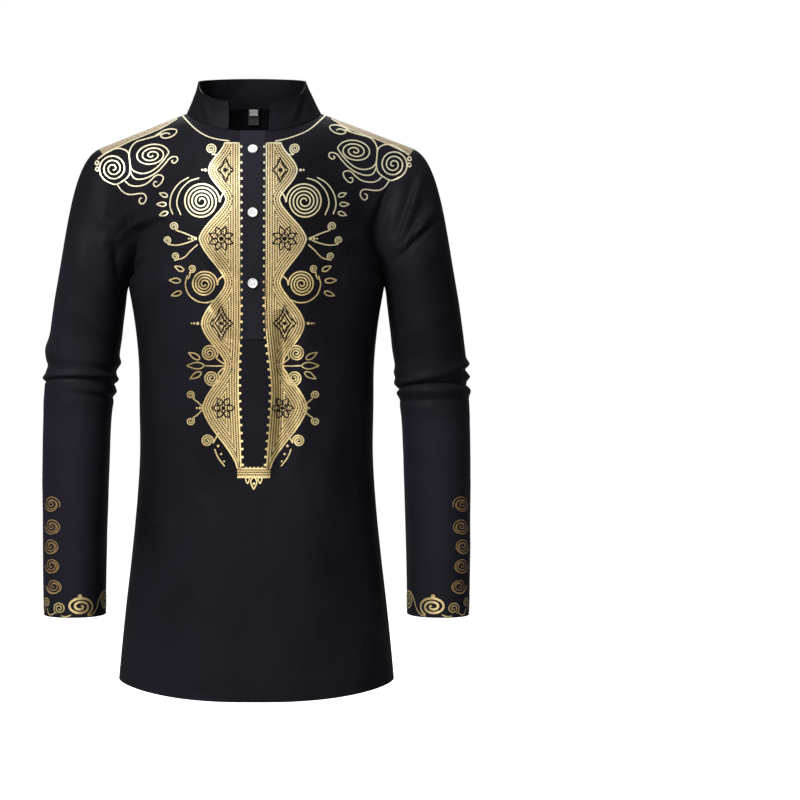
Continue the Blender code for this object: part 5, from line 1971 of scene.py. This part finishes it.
def print_cuffs():
    """Roundels and a barbed line up the front of each sleeve, and a running scroll round the cuff."""
    form, line = cloth_forms(), line_width()
    for name, grid, sign in (("left", form.sleeve_left, 1), ("right", form.sleeve_right, -1)):
        drawing = Drawing(place=Wrap(grid[::-1], UPPER_ROWS, sign))
        for u, v, half_width, half_height, turns, leave, sense, width in cuff_ovals():
            scroll = spiral(u, v, half_width, turns, leave, sense, squash=half_height / half_width)
            drawing.ribbon(scroll, line * width)
        for places in CUFF_STEMS:
            drawing.ribbon(smooth(*places), line * 0.85)
        for spot in CUFF_BEADS:
            drawing.dot(bead(*spot))
        drawing.ribbon(BARBED_LINE, line * 0.6)
        for barb in BARBS:
            drawing.ribbon(barb, line * 0.5)
        drawing.piece(f"print_cuff_{name}", "cuff_foil")


def light(name, location, aim, size, power):
    """A soft square lamp that looks at a point."""
    bpy.ops.object.light_add(type="AREA", location=location)
    lamp = bpy.context.object
    lamp.name = name
    lamp.data.size, lamp.data.energy = size, power
    lamp.rotation_euler = (Vector(aim) - Vector(location)).to_track_quat("-Z", "Y").to_euler()


def set_floor():
    """A pale paper floor that throws no light on the shirt."""
    low = (0, 0, FLOOR_Z)
    bpy.ops.mesh.primitive_circle_add(vertices=96, radius=14, fill_type="NGON", location=low)
    floor = bpy.context.object
    floor.name = "studio_floor"
    finish = Finish("studio_paper")
    clouds = finish.steps(finish.noise(3.0, 2.0), 0.3, 0.7)
    tone = finish.blend(clouds, (0.90, 0.90, 0.90), (0.93, 0.93, 0.93))
    paper = finish.shade(Base_Color=tone, Roughness=0.95, Emission_Color=(1, 1, 1), Emission_Strength=0.87)
    floor.data.materials.append(paper)
    floor.visible_diffuse = floor.visible_glossy = False


def set_world():
    """A dim, faintly blue world that the camera sees as white."""
    world = bpy.data.worlds.new("studio")
    bpy.context.scene.world = world
    world.use_nodes = True
    nodes, links = world.node_tree.nodes, world.node_tree.links
    around = nodes["Background"]
    around.inputs["Color"].default_value = (0.93, 0.95, 1.0, 1)
    around.inputs["Strength"].default_value = 0.19
    seen = nodes.new("ShaderNodeBackground")
    seen.inputs["Color"].default_value = (1, 1, 1, 1)
    path, both = nodes.new("ShaderNodeLightPath"), nodes.new("ShaderNodeMixShader")
    links.new(path.outputs["Is Camera Ray"], both.inputs["Fac"])
    links.new(around.outputs[0], both.inputs[1])
    links.new(seen.outputs[0], both.inputs[2])
    links.new(both.outputs[0], nodes["World Output"].inputs["Surface"])


def set_camera():
    """The camera at EYE, level and shifted so that the shirt stands left of the middle."""
    bpy.ops.object.camera_add(location=EYE, rotation=(math.pi / 2, 0, 0))
    camera = bpy.context.object
    camera.data.sensor_width, camera.data.lens = SENSOR, SENSOR * -EYE.y / VIEW_WIDTH
    camera.data.shift_x = VIEW_SHIFT
    bpy.context.scene.camera = camera
    bpy.context.scene.view_settings.view_transform = "Standard"


def set_stage():
    """The floor, the world, soft lamps and the camera."""
    set_floor()
    set_world()
    for lamp in LAMPS:
        light(*lamp)
    set_camera()


# The add-on


class ShirtSizes(bpy.types.PropertyGroup):
    """Sizes that the pieces read when they are made."""

    fold_depth: FloatProperty(
        name="Fold depth", description="Scale of the folds' heights", default=1.0, min=0, max=2
    )
    print_line: FloatProperty(
        name="Print line", description="Width of the print's main lines", default=0.0020, unit="LENGTH"
    )
    dot_pitch: FloatProperty(
        name="Dot pitch", description="Distance between the rows of dots", default=0.0034, unit="LENGTH"
    )
    dot: FloatProperty(name="Dot", description="Radius of the dots", default=0.00094, unit="LENGTH")
    stitch: FloatProperty(name="Stitch", description="Pitch of the sewing", default=0.0028, unit="LENGTH")


class ShirtTones(bpy.types.PropertyGroup):
    """Colours of the cloth, the print and the trim."""

    cloth: FloatVectorProperty(
        name="Cloth", description="Black of the cloth", default=(0.0068, 0.0065, 0.0080), subtype="COLOR"
    )
    cloth_lit: FloatVectorProperty(
        name="Bloom", description="The cloth's satin bloom", default=(0.0142, 0.0134, 0.0198), subtype="COLOR"
    )
    gold_light: FloatVectorProperty(
        name="Gold", description="Clean gold foil", default=(0.88, 0.71, 0.33), subtype="COLOR"
    )
    gold_deep: FloatVectorProperty(
        name="Deep gold",
        description="Gold foil where it is thin",
        default=(0.33, 0.20, 0.06),
        subtype="COLOR",
    )
    button: FloatVectorProperty(
        name="Button", description="Colour of the buttons", default=(0.86, 0.85, 0.83), subtype="COLOR"
    )
    label: FloatVectorProperty(
        name="Label", description="Colour of the neck label", default=(0.060, 0.060, 0.064), subtype="COLOR"
    )


class SHIRT_OT_body(bpy.types.Operator):
    """Make the front with its slit, and the back."""

    bl_idname = "shirt.body"
    bl_label = "Body"

    def execute(self, context):
        dress_body()
        return {"FINISHED"}


class SHIRT_OT_sleeves(bpy.types.Operator):
    """Make both sleeves."""

    bl_idname = "shirt.sleeves"
    bl_label = "Sleeves"

    def execute(self, context):
        dress_sleeves()
        return {"FINISHED"}


class SHIRT_OT_collar(bpy.types.Operator):
    """Make the stand collar."""

    bl_idname = "shirt.collar"
    bl_label = "Collar"

    def execute(self, context):
        dress_collar()
        return {"FINISHED"}


class SHIRT_OT_placket(bpy.types.Operator):
    """Make the two strips of the placket."""

    bl_idname = "shirt.placket"
    bl_label = "Placket"

    def execute(self, context):
        dress_placket()
        return {"FINISHED"}


class SHIRT_OT_buttons(bpy.types.Operator):
    """Make the buttons and the threads that hold them."""

    bl_idname = "shirt.buttons"
    bl_label = "Buttons"

    def execute(self, context):
        dress_buttons()
        return {"FINISHED"}


class SHIRT_OT_labels(bpy.types.Operator):
    """Make the bare neck label and its tab."""

    bl_idname = "shirt.labels"
    bl_label = "Labels"

    def execute(self, context):
        dress_labels()
        return {"FINISHED"}


class SHIRT_OT_stitches(bpy.types.Operator):
    """Sew the lines along hem, cuffs, seams, placket and collar."""

    bl_idname = "shirt.stitches"
    bl_label = "Stitches"

    def execute(self, context):
        dress_stitches()
        return {"FINISHED"}


class SHIRT_OT_front_print(bpy.types.Operator):
    """Print the dotted panels of the front with their scrolls and marks."""

    bl_idname = "shirt.front_print"
    bl_label = "Front print"

    def execute(self, context):
        print_panels()
        print_front_lines()
        print_front_marks()
        return {"FINISHED"}


class SHIRT_OT_shoulder_print(bpy.types.Operator):
    """Print the shoulders' scrolls and bands, and the line round the collar's foot."""

    bl_idname = "shirt.shoulder_print"
    bl_label = "Shoulder print"

    def execute(self, context):
        print_shoulders()
        print_shoulder_bands()
        print_neck_line()
        return {"FINISHED"}


class SHIRT_OT_cuff_print(bpy.types.Operator):
    """Print the roundels and the running scroll of both cuffs."""

    bl_idname = "shirt.cuff_print"
    bl_label = "Cuff print"

    def execute(self, context):
        print_cuffs()
        return {"FINISHED"}


class SHIRT_OT_stage(bpy.types.Operator):
    """Set the floor, the lamps and the camera."""

    bl_idname = "shirt.stage"
    bl_label = "Stage"

    def execute(self, context):
        set_stage()
        return {"FINISHED"}


STEPS = (
    SHIRT_OT_body,
    SHIRT_OT_sleeves,
    SHIRT_OT_collar,
    SHIRT_OT_placket,
    SHIRT_OT_buttons,
    SHIRT_OT_labels,
    SHIRT_OT_stitches,
    SHIRT_OT_front_print,
    SHIRT_OT_shoulder_print,
    SHIRT_OT_cuff_print,
    SHIRT_OT_stage,
)


class SHIRT_PT_pieces(bpy.types.Panel):
    """The shirt's settings and its steps."""

    bl_label = "Dashiki shirt"
    bl_space_type = "VIEW_3D"
    bl_region_type = "UI"
    bl_category = "Shirt"

    def draw(self, context):
        for settings in (context.scene.shirt_sizes, context.scene.shirt_tones):
            for name in settings.bl_rna.properties.keys():
                if name not in ("rna_type", "name"):
                    self.layout.prop(settings, name)
        for step in STEPS:
            self.layout.operator(step.bl_idname)


CLASSES = (ShirtSizes, ShirtTones, *STEPS, SHIRT_PT_pieces)


def register():
    """Registers the classes and hangs the settings on the scene."""
    for cls in CLASSES:
        bpy.utils.register_class(cls)
    bpy.types.Scene.shirt_sizes = PointerProperty(type=ShirtSizes)
    bpy.types.Scene.shirt_tones = PointerProperty(type=ShirtTones)


def unregister():
    """Takes the settings and the classes away again."""
    del bpy.types.Scene.shirt_tones
    del bpy.types.Scene.shirt_sizes
    for cls in reversed(CLASSES):
        bpy.utils.unregister_class(cls)


def main():
    """Registers the add-on and makes everything in order."""
    register()
    for step in STEPS:
        group, name = step.bl_idname.split(".")
        getattr(getattr(bpy.ops, group), name)()


if __name__ == "__main__":
    main()
